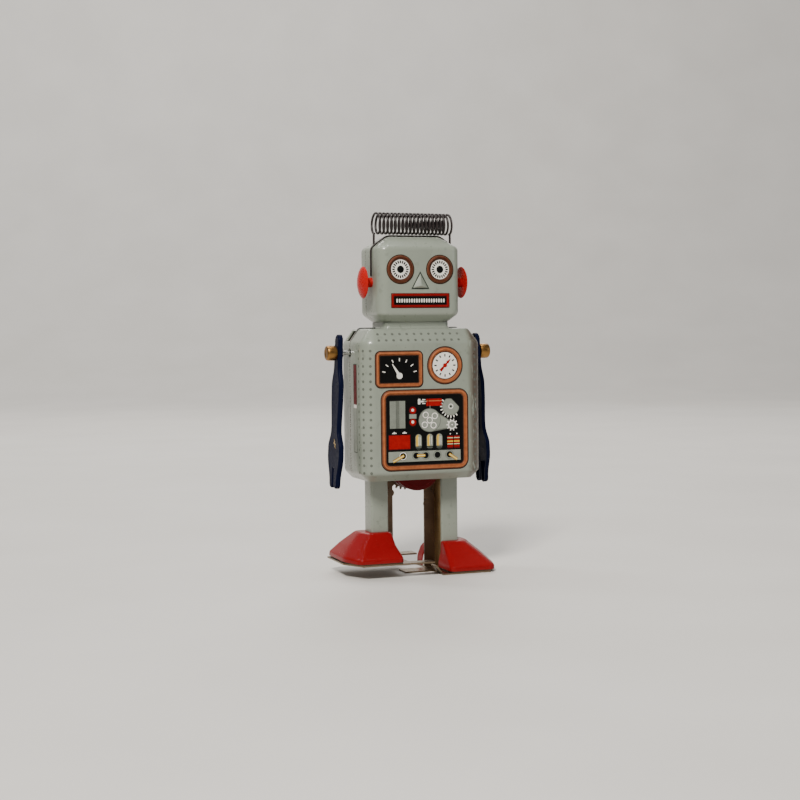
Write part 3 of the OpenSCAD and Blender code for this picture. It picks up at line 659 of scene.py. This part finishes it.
def make_neck():
    low, high = box_mm("neck_collar")
    flare = -0.35
    levels = [(low[2] + 0.1, flare), (BODY_TOP + 0.15, flare), (BODY_TOP + 0.55, 0.0), (HEAD_Z + 0.1, 0.0)]
    rings = [rounded_ring(high[0] + 0.3 - inset, high[1] + 0.3 - inset, 2.2, z)
             for z, inset in smooth_corners(levels, 0.2, 3)]
    verts, faces = loft(rings)
    piece = link_mesh("neck", verts, faces, ["shell"], None, None)
    thicken(piece, TIN, "inside", "edge")
    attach(piece, "torso")
    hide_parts("neck_collar")


def make_dots():
    """Printed rows of small dots down the rounded front corners and along the top slope."""
    spots = []
    for side, _ in SIDES:
        for angle in (26, 60, 90):
            a = math.radians(angle)
            normal = Vector((side * math.sin(a), -math.cos(a), 0))
            y = -(BODY_Y - CORNER_R) + (0.6 if angle == 90 else 0)
            for row in range(17):
                centre = Vector((side * (BODY_X - CORNER_R), y, BODY_Z + 2.9 + 2.45 * row))
                spots.append((centre + normal * CORNER_R, normal))
    normal = Vector((0, -math.cos(SLOPE_LEAN), math.sin(SLOPE_LEAN)))
    for drop in (1.8, 3.75):
        for column in range(12):
            x = -15.0 + 2.5 * column
            y = -BODY_Y + SLOPE_IN * (1 - drop / SLOPE_H)
            spots.append((Vector((x, y, BODY_TOP - drop)), normal))
    verts, faces = [], []
    unit = circle(1, 12)
    for place, normal in spots:
        side = normal.orthogonal().normalized()
        other = normal.cross(side)
        rings = [[tuple(place + normal * lift + (side * c + other * s) * r) for c, s in unit]
                 for lift, r in ((-0.03, 0.46), (0.02, 0.46), (0.03, 0.42))]
        add_solid(verts, faces, rings)
    piece = link_mesh("body_dots", verts, faces, ["ink_mid"])


def make_chest_frames():
    y = CHEST_Y
    for piece in (
        frame_band("panel_frame", y, *PANEL, 14.9, 12.9, 3.0, 1.5, 0.6, "torso"),
        frame_band("meter_frame", y, *METER, 8.0, 5.75, 1.6, 1.3, 0.6, "torso"),
        frame_band("gauge_frame", y, *GAUGE, 5.95, 5.95, 5.95, 1.45, 0.6, "torso", round_shape=True),
    ):
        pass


def make_meter():
    art = Print(CHEST_Y, *METER)
    art.rect(-6.6, -4.4, 6.6, 4.4, 1, "ink_black", 0.6)
    hub = (0.1, -2.1)
    for c, s in arc(0, 0, 1, 165, 15, 6):
        art.line(hub[0] + 5.0 * c, hub[1] + 4.7 * s, hub[0] + 6.1 * c, hub[1] + 5.7 * s, 0.3, 2, "ink_white")
    tip = (-2.35, 1.75)
    art.line(*hub, *tip, 1.05, 3, "ink_white", 0.22)
    art.disc(*hub, 1.0, 4, "ink_white")
    art.make("meter_print", "torso")


def make_gauge():
    art = Print(CHEST_Y, *GAUGE)
    art.disc(0, 0, 4.35, 1, "ink_white", 48)
    art.ticks(0, 0, 2.85, 3.7, [30 * k for k in range(12)], 0.42, 2, "ink_black")
    needle = 47
    for start, end, width, layer, end_width in ((-1.3, 2.2, 0.6, 3, 0.5), (1.2, 2.85, 1.0, 4, 0.1),
                                                (-2.35, -0.9, 1.0, 4, 0.75)):
        art.line(*polar(start, needle), *polar(end, needle), width, layer, "ink_red", end_width)
    art.disc(0, 0, 0.7, 5, "ink_red", 20)
    art.make("gauge_print", "torso")


def draw_target(art, x, z, layer, rings):
    """Discs one on the other, the largest first."""
    for step, (radius, key) in enumerate(rings):
        art.disc(x, z, radius, layer + step, key, 28)


def draw_lamp(art, x, z):
    art.disc(x, z, 1.28, 2, "ink_deep")
    art.disc(x, z, 1.02, 3, "ink_red")
    art.disc(x - 0.05, z + 0.12, 0.46, 4, "ink_white", 20)


def draw_disc_and_belt(art):
    cx, cz, r = 1.8, 2.9, 3.85
    gx, gz, gr = 9.6, 1.2, 1.05
    for layer, key, high_in, gear_in, low_in in ((2, "ink_mid", 0.4, 0.0, 0.05),
                                                 (3, "ink_grey", 0.9, 0.25, 0.6)):
        art.prism([(cx + 1.2, cz + r - high_in), (gx, gz + gr - gear_in), (gx, gz - gr + gear_in),
                   (cx + 0.6, cz - r + low_in)], layer, key)
    art.disc(cx, cz, r, 4, "ink_mid", 48)
    art.disc(cx, cz, r - 0.22, 5, "ink_grey", 48)
    for dx, dz in ((0, 0), (-1.4, 1.75), (1.75, 1.35), (-1.75, -1.45), (1.3, -1.7)):
        draw_target(art, cx + dx, cz + dz, 6,
                    ((1.18, "ink_mid"), (1.08, "ink_white"), (0.74, "ink_dark"), (0.66, "ink_grey")))
    art.gear(gx, gz, 1.35, 2.0, 10, 4, "ink_white")
    art.disc(gx, gz, 1.45, 5, "ink_white")
    art.disc(gx, gz, 1.1, 6, "ink_grey")
    art.disc(gx, gz, 0.55, 7, "ink_mid")
    art.disc(gx, gz, 0.3, 8, "ink_white", 16)


def draw_big_gear(art):
    cx, cz, r = 9.2, 7.2, 3.0
    top, right = 9.75, 12.1
    points = []
    for x, z in circle(r, 64, cx, cz):
        x, z = min(x, right), min(z, top)
        over = (x - right) + (z - top) + 2.7
        if over > 0:
            x, z = x - over / 2, z - over / 2
        points.append((x, z))
    art.prism(points, 3, "ink_mid")
    art.prism([(cx + (x - cx) * 0.94, cz + (z - cz) * 0.94) for x, z in points], 4, "ink_grey")
    art.gear(cx, cz, r, 3.75, 20, 2, "ink_white",
             lambda x, z: x < right - 0.2 and z < top - 0.2 and x + z < 18.2)
    art.disc(cx, cz, 0.85, 5, "ink_white", 24)
    art.disc(cx, cz, 0.62, 6, "ink_grey", 24)
    art.disc(cx, cz, 0.32, 7, "ink_black", 16)


def draw_transformer(art):
    x0, x1, z0, z1 = -11.8, -6.7, 0.6, 9.3
    art.rect(x0 - 0.12, z0 - 0.12, x1 + 0.12, z1 + 0.12, 2, "ink_mid")
    art.rect(x0, z0, x1, z1, 3, "ink_grey")
    for k in range(1, 16):
        x = x0 + (x1 - x0) * k / 16
        wide = 0.42 if k == 8 else 0.10
        art.rect(x - wide / 2, z0, x + wide / 2, z1, 4, "ink_mid")
    for x in (x0 + 2.05, x1 - 2.15):
        art.rect(x, z0, x + 0.10, z1, 5, "ink_dark")


def draw_motor(art):
    art.rect(0.7, 7.5, 6.1, 9.85, 2, "ink_red", 0.15)
    art.rect(0.7, 9.0, 6.1, 9.3, 3, "copper_light")
    art.rect(1.3, 7.5, 1.5, 9.85, 4, "ink_deep")
    art.rect(-2.2, 8.1, -1.35, 9.9, 2, "ink_white", 0.2)
    art.rect(-1.5, 8.75, -0.2, 9.25, 2, "ink_white")
    for z in (8.2, 9.45):
        art.rect(-0.75, z, 0.35, z + 0.3, 2, "ink_white")
    art.rect(-0.3, 8.8, 0.8, 9.2, 3, "ink_grey")
    art.rect(1.9, 6.6, 2.05, 7.6, 2, "ink_grey")


def draw_red_box(art):
    art.rect(-12.4, -6.3, -4.9, -1.55, 2, "ink_deep", 0.1)
    art.rect(-12.2, -6.1, -5.1, -1.75, 3, "ink_red", 0.1)
    for x in (-10.4, -6.9):
        art.rect(x - 0.75, -1.15, x + 0.75, -0.85, 2, "ink_white")
        art.disc(x, -0.9, 0.34, 3, "ink_white", 16)


def draw_tubes(art):
    top = -2.6
    for x in (-2.1, 1.8, 5.1):
        for layer, half, key in ((2, 1.12, "ink_mid"), (3, 0.98, "ink_grey")):
            art.prism(arc(x, top, half, 0, 180, 12) + [(x - half, -5.5), (x + half, -5.5)], layer, key)
        left = [(x - 0.05, top + 0.9)] + arc(x, top, 0.86, 105, 180, 5)
        art.prism(left + [(x - 0.86, -5.4), (x - 0.05, -5.4)], 4, "ink_yellow")
        art.rect(x - 0.2, -5.1, x + 0.05, -2.4, 5, "ink_pale")
        art.rect(x + 0.45, -5.0, x + 0.6, -2.4, 5, "ink_white")
        art.rect(x - 0.95, -6.05, x + 0.95, -5.75, 2, "ink_mid")
        art.rect(x - 0.6, -6.5, x + 0.6, -6.25, 2, "ink_dark")


def draw_resistors(art):
    bands = ("ink_red", "ink_pale", "ink_red", "ink_yellow", "ink_red", "ink_pale", "ink_red", "ink_deep")
    for x0 in (7.9, 10.2):
        for k, key in enumerate(bands):
            z = -2.45 - 0.5 * k
            art.rect(x0, z - (0.25 if key == "ink_pale" else 0.5), x0 + 1.98, z, 2, key)
        art.disc(x0 + 1.05, -1.75, 0.22, 2, "ink_white", 12)


def draw_jack_strip(art):
    low, high = -10.35, -6.95
    art.rect(-12.45, low, 12.5, high, 2, "ink_grey")
    for x, collar in ((-7.5, "ink_white"), (-3.0, "ink_grey"), (0.3, "ink_grey"), (4.4, "ink_grey"),
                      (8.6, "ink_grey")):
        draw_target(art, x, -8.45, 3,
                    ((1.45, "ink_mid"), (1.28, collar), (1.05, "ink_dark"), (0.9, "ink_black")))
    for x0, z0, x1, z1 in ((-7.2, -8.3, -10.9, -10.2), (-2.7, -8.45, 0.1, -8.45), (8.5, -8.3, 11.2, -10.1)):
        art.line(x0, z0, x1, z1, 0.95, 8, "ink_brown")
        art.line(x0, z0, x1, z1, 0.75, 9, "ink_yellow")
        art.line(x0, z0, x1, z1, 0.22, 10, "ink_pale")


def make_panel():
    art = Print(CHEST_Y, PANEL[0] - 0.2, PANEL[1] + 0.15)
    art.rect(-13.3, -11.65, 13.7, 11.35, 1, "ink_black", 1.6)
    draw_transformer(art)
    draw_lamp(art, -4.0, 6.2)
    draw_lamp(art, -4.0, 2.35)
    art.rect(-5.3, 3.5, -2.7, 5.05, 2, "ink_mid")
    art.rect(-5.1, 3.6, -2.9, 4.95, 3, "ink_grey")
    draw_motor(art)
    draw_disc_and_belt(art)
    draw_big_gear(art)
    draw_red_box(art)
    draw_tubes(art)
    draw_resistors(art)
    draw_jack_strip(art)
    art.make("panel_print", "torso")


def make_side_bars():
    """Printed level indicators, one on each side of the body."""
    verts, faces, face_keys = [], [], []
    y, half = -3.6, 1.45
    z_top, z_mid, z_low = BODY_Z + 37.6, BODY_Z + 24.6, BODY_Z + 9.4
    plates = ((half + 0.25, z_low - 0.3, z_top + 0.3, 0.015, "ink_dark"),
              (half, z_low, z_mid, 0.03, "ink_grey"), (half, z_mid, z_top, 0.03, "ink_deep"),
              (half, z_mid - 1.0, z_mid + 0.1, 0.045, "ink_white"))
    for side, _ in SIDES:
        for reach, z0, z1, lift, key in plates:
            corners = ((y - reach, z0), (y + reach, z0), (y + reach, z1), (y - reach, z1))
            rings = [[(side * x, cy, cz) for cy, cz in corners] for x in (BODY_X - 0.03, BODY_X + lift)]
            face_keys += [key] * add_solid(verts, faces, rings)
    keys = ["ink_deep", "ink_white", "ink_grey", "ink_dark"]
    piece = link_mesh("side_print", verts, faces, keys, face_keys, "torso", sharp=20)


# ---------------------------------------------------------------- head

def make_head_shells():
    levels = [(HEAD_Z, 3.2, 3.2), (HEAD_Z + CHIN_H, 0, 0), (HEAD_TOP - CROWN_H, 0, 0),
              (HEAD_TOP, CROWN_IN, 4.5), (HEAD_TOP, 12.0, 8.5)]
    levels = smooth_corners(levels, 1.1, 6)
    for name, node, front in (("head_front", "head_front_shell", True),
                              ("head_rear", "head_rear_shell", False)):
        rings = [rounded_ring(8.5, 4.5, 1.0, HEAD_Z)]
        for z, ix, iy in levels:
            rings.append(rounded_ring(HEAD_X - ix, HEAD_Y - iy, max(3.5 - 0.35 * max(ix, iy), 0.6), z))
        verts, faces = loft(rings, cap_end=True)
        piece = link_mesh(name, verts, faces, ["shell"], None, None)
        keep_side(piece, HEAD_SEAM_Y if front else HEAD_SEAM_Y + HEAD_SEAM_GAP, front)
        thicken(piece, TIN, "inside", "edge")
        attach(piece, "torso")
        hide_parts(node)


def make_eyes():
    for side, name in SIDES:
        x, z = side * EYE_X, EYE_Z
        # The ring's lighter umber stripe is painted highlight.
        ring = frame_band(f"eye_ring_{name}", FACE_Y, x, z, 4.5, 4.5, 4.5, 1.1, 0.6, "torso", key="umber",
                          light="umber_light", round_shape=True)
        art = Print(FACE_Y, x, z)
        art.disc(0, 0, 3.42, 1, "ink_white", 48)
        art.ticks(0, 0, 1.95, 2.85, [18 * k for k in range(20)], 0.46, 2, "ink_black")
        art.disc(0, 0, 1.2, 3, "ink_black", 32)
        art.make(f"eye_print_{name}", "torso")


def make_nose():
    """Embossed three-sided nose with a dark printed edge."""
    z0 = NOSE_Z
    art = Print(FACE_Y, 0, z0)
    art.prism([(-3.15, -0.38), (3.15, -0.38), (0, 5.45)], 1, "ink_dark")
    art.make("nose_outline", "torso")
    base = [(-2.65, 0), (2.65, 0), (0, 4.7)]
    verts = [(x, FACE_Y + 0.02, z0 + z) for x, z in base]
    verts += [(x * 0.93, FACE_Y - 0.12, z0 + z * 0.96 + 0.08) for x, z in base]
    verts += [(0.0, FACE_Y - 1.15, z0 + 0.75), (0.0, FACE_Y - 0.2, z0 + 4.35)]
    faces = [(0, 1, 4, 3), (1, 2, 5, 4), (2, 0, 3, 5), (3, 4, 6), (4, 5, 7, 6), (5, 3, 6, 7), (0, 2, 1)]
    piece = link_mesh("nose", verts, faces, ["shell"], None, "torso", sharp=80)
    bevel = piece.modifiers.new("round", "BEVEL")
    bevel.width = 0.12 * MM
    bevel.segments = 3
    apply_modifiers(piece, 60)


def make_mouth():
    z = MOUTH_Z
    art = Print(FACE_Y, 0, z)
    art.rect(-10.1, -2.4, 10.1, 2.4, 1, "outline", 0.2)
    art.rect(-9.1, -1.45, 9.1, 1.45, 3, "ink_black")
    teeth = 20
    for k in range(teeth):
        x = -8.5 + 17.0 * (k + 0.5) / teeth
        art.rect(x - 0.23, -0.6, x + 0.23, 0.6, 5, "ink_white", 0.14)
    art.rect(-8.5, -0.1, 8.5, 0.1, 4, "ink_dark")
    art.make("mouth_print", "torso")
    rings = []
    for inset, rise in ((0, -0.02), (0, 0.1), (0.12, 0.28), (0.4, 0.37), (0.65, 0.3), (0.85, 0.12),
                        (0.85, -0.02)):
        ring = rounded_ring(9.95 - inset, 2.25 - inset, max(0.4 - inset, 0.08), 0, 4)
        rings.append([(p[0], FACE_Y - rise, z + p[1]) for p in ring])
    rings.append(rings[0])
    verts, faces = loft(rings)
    piece = link_mesh("mouth_frame", verts, faces, ["ink_frame"], None, "torso", sharp=50)


def make_ears():
    profile = [(1.6, -0.5), (1.6, 2.55), (1.8, 2.78), (4.7, 2.72), (5.1, 2.74), (5.2, 2.86), (5.12, 3.02),
               (4.6, 3.36), (3.6, 3.78), (2.4, 4.08), (1.1, 4.26), (0.0, 4.29)]
    for side, name in ((-1, "ear_left"), (1, "ear_right")):
        place = (side * HEAD_X, EAR_Y, EAR_Z)
        piece = lathe(f"{name}_cup", profile, place, (side, 0, 0), ["plastic"], "torso", 64)
        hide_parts(name)


def make_headband():
    off = 0.36
    side, crown = HEAD_X + off, HEAD_X - CROWN_IN + 0.15
    knee, top = HEAD_TOP - CROWN_H + 0.15, HEAD_TOP + off
    half = [(side, EAR_Z + 1.95), (side, knee), (crown, top)]
    y = EAR_Y - 0.7
    route = smooth_corners([(-x, y, z) for x, z in half] + [(x, y, z) for x, z in half[::-1]], 1.4, 6)
    piece = tube("headband", route, 0.3, "wire", "torso", 10)
    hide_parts("headband_wire")


def make_head_coil():
    low, high = box_mm("head_coil")
    wire = 0.39
    end_x = high[0] - wire
    radius = 3.30
    centre_z = high[2] - wire - radius
    turns, steps, half = 20, 30, 13.1
    under = centre_z - radius
    path = [(-end_x, EAR_Y, low[2]), (-end_x, EAR_Y, under - 1.0), (-end_x + 0.05, EAR_Y + 0.1, under - 0.3)]
    rng = random.Random(SEED)
    wobble = [rng.uniform(-0.10, 0.10) for _ in range(turns + 2)]
    for i in range(turns * steps + 1):
        t = i / (turns * steps)
        turn = i / steps
        k = int(turn)
        shift = wobble[k] * (1 - (turn - k)) + wobble[k + 1] * (turn - k)
        squeeze = 0.35 * math.sin(math.pi * t) - 0.25 * t
        a = math.radians(-90 + 360 * turn)
        sag = -0.16 * t * t
        path.append((-half + 2 * half * t + squeeze * 0.6 + shift * 0.6,
                     EAR_Y + radius * math.cos(a) + shift * 0.3,
                     centre_z + sag + radius * (1 - 0.015 * t) * math.sin(a)))
    path += [(end_x - 0.05, EAR_Y - 0.1, under - 0.3), (end_x, EAR_Y, under - 1.0), (end_x, EAR_Y, low[2])]
    piece = tube("hair_coil", path, wire, "wire", "torso", 8, (1, 0, 0))
    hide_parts("head_coil")


# ---------------------------------------------------------------- arms

def ease(x0, y0, x1, y1, n):
    """Points of an S-curve whose two ends run straight up."""
    return [(x0 + (x1 - x0) * (1 - math.cos(math.pi * i / n)) / 2, y0 + (y1 - y0) * i / n)
            for i in range(n + 1)]


def arm_edge(d, tip=-44.2, hand_r=6.4):
    """One edge of an arm about its pivot, pulled in by d, from the rounded top to the claw slot."""
    edge = arc(0, 3.8, 2.2 - d, 82, 0, 8)
    edge += ease(2.4 - d, -4, 4.4 - d, -11, 10)
    edge += ease(4.3 - d, -14, 3.5 - d, tip + 20, 8)
    edge += ease(3.6 - d, tip + 19, hand_r - d, tip + 13, 10)
    edge += ease(hand_r - d, tip + 10.5, 3.9 - d, tip + 1.9, 10)
    edge += arc(2.2, tip + 1.7, 1.7 - d, -8, -172, 10)
    edge.append((0.5 + d, tip + 6.3 + d))
    edge.append((0.25 + d, tip + 6.5 + d))
    return edge


def lean_arm(side, x, y, z):
    """A point at x off the inner face of a hanging arm and at y, z from its pivot, with the arm's lean."""
    return (side * (ARM_X + x * math.cos(ARM_SPLAY) - z * math.sin(ARM_SPLAY)), SHAFT_Y + y,
            SHAFT_Z + z * math.cos(ARM_SPLAY) + x * math.sin(ARM_SPLAY))


def make_arms():
    for side, name in ((-1, "arm_left"), (1, "arm_right")):
        rings = []
        for d, x in ((0.0, 0.0), (0.0, 1.0), (0.08, 1.25), (0.28, 1.43), (0.55, ARM_THICK),
                     (0.9, ARM_THICK - 0.02)):
            edge = arm_edge(d)
            rings.append([lean_arm(side, x, y, z) for y, z in edge + [(-y, z) for y, z in edge[::-1]]])
        verts, faces = loft(rings, cap_end=True)
        piece = link_mesh(f"{name}_tin", verts, faces, ["navy"], None, None)
        thicken(piece, 0.4, "navy", "navy")
        drill(piece, SHAFT_Y, SHAFT_Z, ARM_HOLE_R)
        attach(piece, name)
        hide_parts(name)


def make_hand_chip():
    """A zigzag patch of bare gilt tin where the enamel has flaked off the left hand."""
    outline = [(-0.9, -1.1), (0.1, -0.5), (-0.2, 0.1), (1.3, 0.5), (0.5, 1.4), (0.9, 2.1), (-0.3, 1.2),
               (0.1, 0.7), (-1.0, 0.3), (-0.4, -0.3)]
    centre_y, centre_z = -1.2, -30.0
    rings = [[lean_arm(-1, x, centre_y + y, centre_z + z) for y, z in outline]
             for x in (ARM_THICK - 0.03, ARM_THICK + 0.03)]
    verts, faces = loft(rings, True, True)
    piece = link_mesh("hand_chip", verts, faces, ["chip"], None, "arm_left")


def make_arm_caps():
    length = cap_high[0] - cap_low[0]
    profile = [(0.72, 0.0), (2.1, 0.0), (2.3, 0.1), (2.42, 0.45), (2.5, 1.2), (2.5, 2.0), (2.44, 2.75),
               (2.3, 3.12), (2.05, length), (1.5, length), (1.3, length - 0.18), (0.0, length - 0.25)]
    for side, name in ((-1, "arm_cap_left"), (1, "arm_cap_right")):
        place = (side * cap_low[0], SHAFT_Y, SHAFT_Z)
        piece = lathe(f"{name}_barrel", profile, place, (side, 0, 0), ["cap"], "torso", 56)
        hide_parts(name)


# ---------------------------------------------------------------- legs and feet

def make_legs():
    """Each leg is a strip of tin folded into a channel, enamelled outside and golden inside."""
    inner, outer = leg_low[0], leg_high[0]
    front, back = leg_low[1], leg_high[1]
    middle = (inner + outer) / 2
    r = 0.7
    section = [(inner, back)] + arc(inner + r, front + r, r, 180, 270, 4)
    section += arc(outer - r, front + r, r, 270, 360, 4) + [(outer, back)]
    heights = (leg_low[2], 38, 50, leg_high[2])
    for side, which, lift in FEET:
        name = f"leg_{which}"
        rings = [[(side * x, y, z + lift) for x, y in section] for z in heights]
        verts, faces = loft(rings, closed=False)
        n = len(section) - 1
        # The outer wall ends at the second height, the front wall at the third; the inner wall goes on up.
        columns = (n, n - 1, 1)
        kept = [i for i in range(len(faces)) if i % n < columns[i // n]]
        keys = ["inside" if i % n == 0 else "shell" for i in kept]
        piece = link_mesh(f"{name}_channel", verts, [faces[i] for i in kept], ["shell", "inside"], keys, None)
        with editing(piece.data) as work:
            loose = [v for v in work.verts if not v.link_faces]
            bmesh.ops.delete(work, geom=loose, context="VERTS")
            for face in work.faces:
                centre = face.calc_center_median() / MM
                outward = Vector((centre.x - side * middle, centre.y - back, 0))
                if face.normal.dot(outward) < 0:
                    face.normal_flip()
        thicken(piece, 0.6, "inside", "edge")
        drill(piece, 0, PIN_Z + lift, PIN_HOLE_R, reach=12)
        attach(piece, name)
        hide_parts(name)


def shoe_outline(toe, heel, side_in, inner_in, r, z, steps=6):
    """One level of a shoe: a rounded five-sided outline, for the +X foot."""
    x0, x1 = SHOE_X[0] + inner_in, SHOE_X[1] - side_in
    y0, y1 = SHOE_Y[0] + toe, SHOE_Y[1] - heel
    cut_x = 2.6
    corners = [(x0, y1), (x0, y0), (x1 - cut_x, y0), (x1, y0 + 8.4 - toe * 0.4), (x1, y1)]
    points = []
    for i, corner in enumerate(corners):
        after = corners[(i + 1) % len(corners)]
        points += [(*p, z) for p in corner_curve(corners[i - 1], corner, after, r, 0.4, steps)]
    return points


def make_shoes():
    """Pressed shoes over a recessed welt coloured dark as painted shadow under the skirt, with a pocket for
    the leg and a passage on the inner side.
    """
    # Each level: height, then how far the toe, heel, outer and inner sides come in, and the corner reach
    upper = [(0.95, 0.0, 0.0, 0.0, 0.0, 2.2), (1.9, 0.0, 0.0, 0.0, 0.0, 2.2),
             (2.4, 0.12, 0.12, 0.12, 0.05, 2.2), (5.6, 5.0, 2.6, 2.9, 0.8, 2.2),
             (9.2, 9.2, 6.2, 6.9, 1.0, 1.4), (9.55, 9.9, 6.9, 7.6, 1.6, 1.2),
             (9.57, 10.3, 7.5, 8.2, 2.2, 0.9)]
    # The welt is a real recess under the shoe's skirt; its dark colour is painted shadow.
    shadow_welt = [(0.52, 0.35, 0.35, 0.35, 0.1, 1.9), (0.9, 0.35, 0.35, 0.35, 0.1, 1.9),
            (0.95, 0.05, 0.05, 0.05, 0.02, 2.15)]
    levels = shadow_welt + smooth_corners(upper, 0.7, 5)
    for side, which, lift in FEET:
        name = f"shoe_{which}"
        rings = [[(side * x, y, zz + lift) for x, y, zz in shoe_outline(toe, heel, out, inn, r, z)]
                 for z, toe, heel, out, inn, r in levels]
        verts, faces = loft(rings, cap_end=True)
        n = len(rings[0])
        # The two welt bands take dark steel as painted shadow; the rest is red enamel.
        keys = ["dark_steel" if i < 2 * n else "red" for i in range(len(faces))]
        piece = link_mesh(f"{name}_tin", verts, faces, ["red", "dark_steel"], keys, None)
        thicken(piece, 0.45, "inside", "edge")
        room = 0.15
        for x0, x1, floor_z in ((leg_low[0] - room, leg_high[0] + room, 4), (0.0, leg_low[0] + 0.8, -1)):
            xs = sorted((side * x0, side * x1))
            cut(piece, (xs[0], leg_low[1] - room, floor_z + lift), (xs[1], leg_high[1] + 0.8, 20 + lift))
        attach(piece, name.replace("shoe", "leg"))
        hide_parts(name)


def make_heel_cups():
    """Curved red cup on the inner side of each heel."""
    outer = smooth_corners([(5.25, 0.55), (5.25, 3.2), (6.6, 6.8), (8.6, 8.0)], 1.4, 5)
    inner = [(x + 0.42, z - 0.1 if z > 4 else z) for x, z in outer[::-1]]
    for side, name, lift in FEET:
        rings = [[(side * x, y, z + lift) for x, z in outer + inner] for y in (5.2, 5.3, 9.3, 9.4)]
        verts, faces = loft(rings, True, True)
        piece = link_mesh(f"heel_cup_{name}", verts, faces, ["red"], None, f"leg_{name}")


def make_drum():
    low, high = box_mm("spring_drum")
    centre_z = (low[2] + high[2]) / 2
    r = (high[2] - low[2]) / 2
    front, back = -6.8, high[1]
    length = back - front
    profile = [(1.7, 0.0), (r - 1.4, 0.0), (r - 1.2, 0.25), (r - 0.5, 0.25), (r - 0.15, 0.4), (r, 0.75),
               (r, 3.1), (r - 0.12, 3.3), (r - 0.12, 3.9), (r, 4.1), (r, length - 0.3), (r - 0.1, length),
               (r - 0.4, length), (r - 0.4, 1.2), (1.7, 0.6)]
    piece = lathe("drum_shell", profile, (0, front, centre_z), (0, 1, 0), ["drum"], "torso", 64)
    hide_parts("spring_drum")


# ---------------------------------------------------------------- carried-over CAD nodes

NODE_FINISH = {
    "tin": ("motor_frame", "front_plate", "arbor_bridge", "body_tabs", "winding_key", "crank_disc_left",
            "crank_disc_right"),
    "steel": ("frame_spacers", "rear_screws", "arm_shaft", "arm_washers", "main_arbor", "ratchet_wheel",
              "click", "second_arbor", "crank_shaft", "governor_arbor", "star_wheel", "pallet_arbor",
              "pallet_anchor"),
    "brass": ("second_pinion", "contrate_wheel", "crank_pinion", "governor_drive_wheel", "governor_pinion"),
    "dark_steel": ("main_wheel", "crank_washer_left", "crank_washer_right", "leg_link_left", "leg_link_right",
                   "leg_rivets_left", "leg_rivets_right"),
    "blued": ("mainspring",),
    "gilt": ("sole_plate_left", "sole_plate_right"),
}


def finish_nodes():
    for key, names in NODE_FINISH.items():
        for name in names:
            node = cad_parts[name]
            node.data.materials.clear()
            node.data.materials.append(MATERIALS[key])


# ---------------------------------------------------------------- floor, light and camera

def area_light(name, place, target, size, power, colour):
    light = bpy.data.lights.new(name, "AREA")
    light.shape = "RECTANGLE"
    light.size, light.size_y = size
    light.energy = power
    light.color = colour
    lamp = bpy.data.objects.new(name, light)
    lamp.location = place
    lamp.rotation_euler = (Vector(target) - Vector(place)).to_track_quat("-Z", "Y").to_euler()
    bpy.context.collection.objects.link(lamp)


def make_floor():
    mesh = bpy.data.meshes.new("floor")
    reach, back, radius = 3.0, 1.1, 0.6
    rows = [(-reach, 0.0), (back, 0.0)]
    rows += arc(back, radius, radius, -80, 0, 8)
    rows.append((back + radius, 3.0))
    verts = [(side * reach, y, z) for y, z in rows for side in (-1, 1)]
    faces = [(2 * i, 2 * i + 1, 2 * i + 3, 2 * i + 2) for i in range(len(rows) - 1)]
    mesh.from_pydata(verts, [], faces)
    mesh.shade_smooth()
    floor = bpy.data.objects.new("floor", mesh)
    bpy.context.collection.objects.link(floor)
    floor.rotation_euler = (0, 0, VIEW_AZIMUTH)
    shader = Shader("pale_floor")
    shader.paint(shader.noise(14, 3), [(0.3, (0.60, 0.58, 0.55)), (0.7, (0.64, 0.62, 0.59))])
    shader.inputs["Roughness"].default_value = 0.55
    mesh.materials.append(shader.material)


def make_lights():
    world = bpy.data.worlds.new("studio")
    world.use_nodes = True
    background = world.node_tree.nodes["Background"]
    background.inputs["Color"].default_value = (0.90, 0.92, 0.95, 1)
    background.inputs["Strength"].default_value = 0.2
    bpy.context.scene.world = world
    target = (0, 0, 0.06)
    area_light("key", (-0.44, -0.60, 0.80), target, (0.24, 0.24), 14.5, (1.0, 0.96, 0.90))
    area_light("fill", (0.70, -0.55, 0.35), target, (0.5, 0.5), 0.8, (0.93, 0.96, 1.0))
    area_light("rim", (0.25, 0.75, 0.70), target, (0.6, 0.4), 3.0, (1.0, 0.97, 0.93))
    area_light("backdrop", (-0.3, 0.5, 1.3), (0.55, 1.6, 0.4), (1.6, 0.5), 26.0, (1.0, 0.98, 0.95))


def make_camera():
    """A camera that looks a little down at the toy from its front right, rolled slightly as in the photo."""
    forward = Vector((-math.sin(VIEW_AZIMUTH), math.cos(VIEW_AZIMUTH), 0))
    right = Vector((math.cos(VIEW_AZIMUTH), math.sin(VIEW_AZIMUTH), 0))
    distance, height, sideways = 0.500, 0.081, -0.00355
    pitch, roll_angle = math.radians(-2.8), math.radians(0.6)
    camera_data = bpy.data.cameras.new("camera")
    camera_data.sensor_width = 36
    camera_data.lens = 68.1
    camera_data.clip_start = 0.01
    camera_data.clip_end = 20
    camera = bpy.data.objects.new("camera", camera_data)
    camera.location = -forward * distance + right * sideways + Vector((0, 0, height))
    look = forward * math.cos(pitch) + Vector((0, 0, math.sin(pitch)))
    roll = Quaternion(look, roll_angle)
    camera.rotation_euler = (roll @ look.to_track_quat("-Z", "Y")).to_euler()
    bpy.context.collection.objects.link(camera)
    bpy.context.scene.camera = camera


make_camera()
make_lights()
make_floor()
make_body_shells()
make_shoulder_strips()
make_neck()
make_dots()
make_chest_frames()
make_meter()
make_gauge()
make_panel()
make_side_bars()
make_head_shells()
make_eyes()
make_nose()
make_mouth()
make_ears()
make_headband()
make_head_coil()
make_arms()
make_hand_chip()
make_arm_caps()
make_legs()
make_shoes()
make_heel_cups()
make_drum()
finish_nodes()
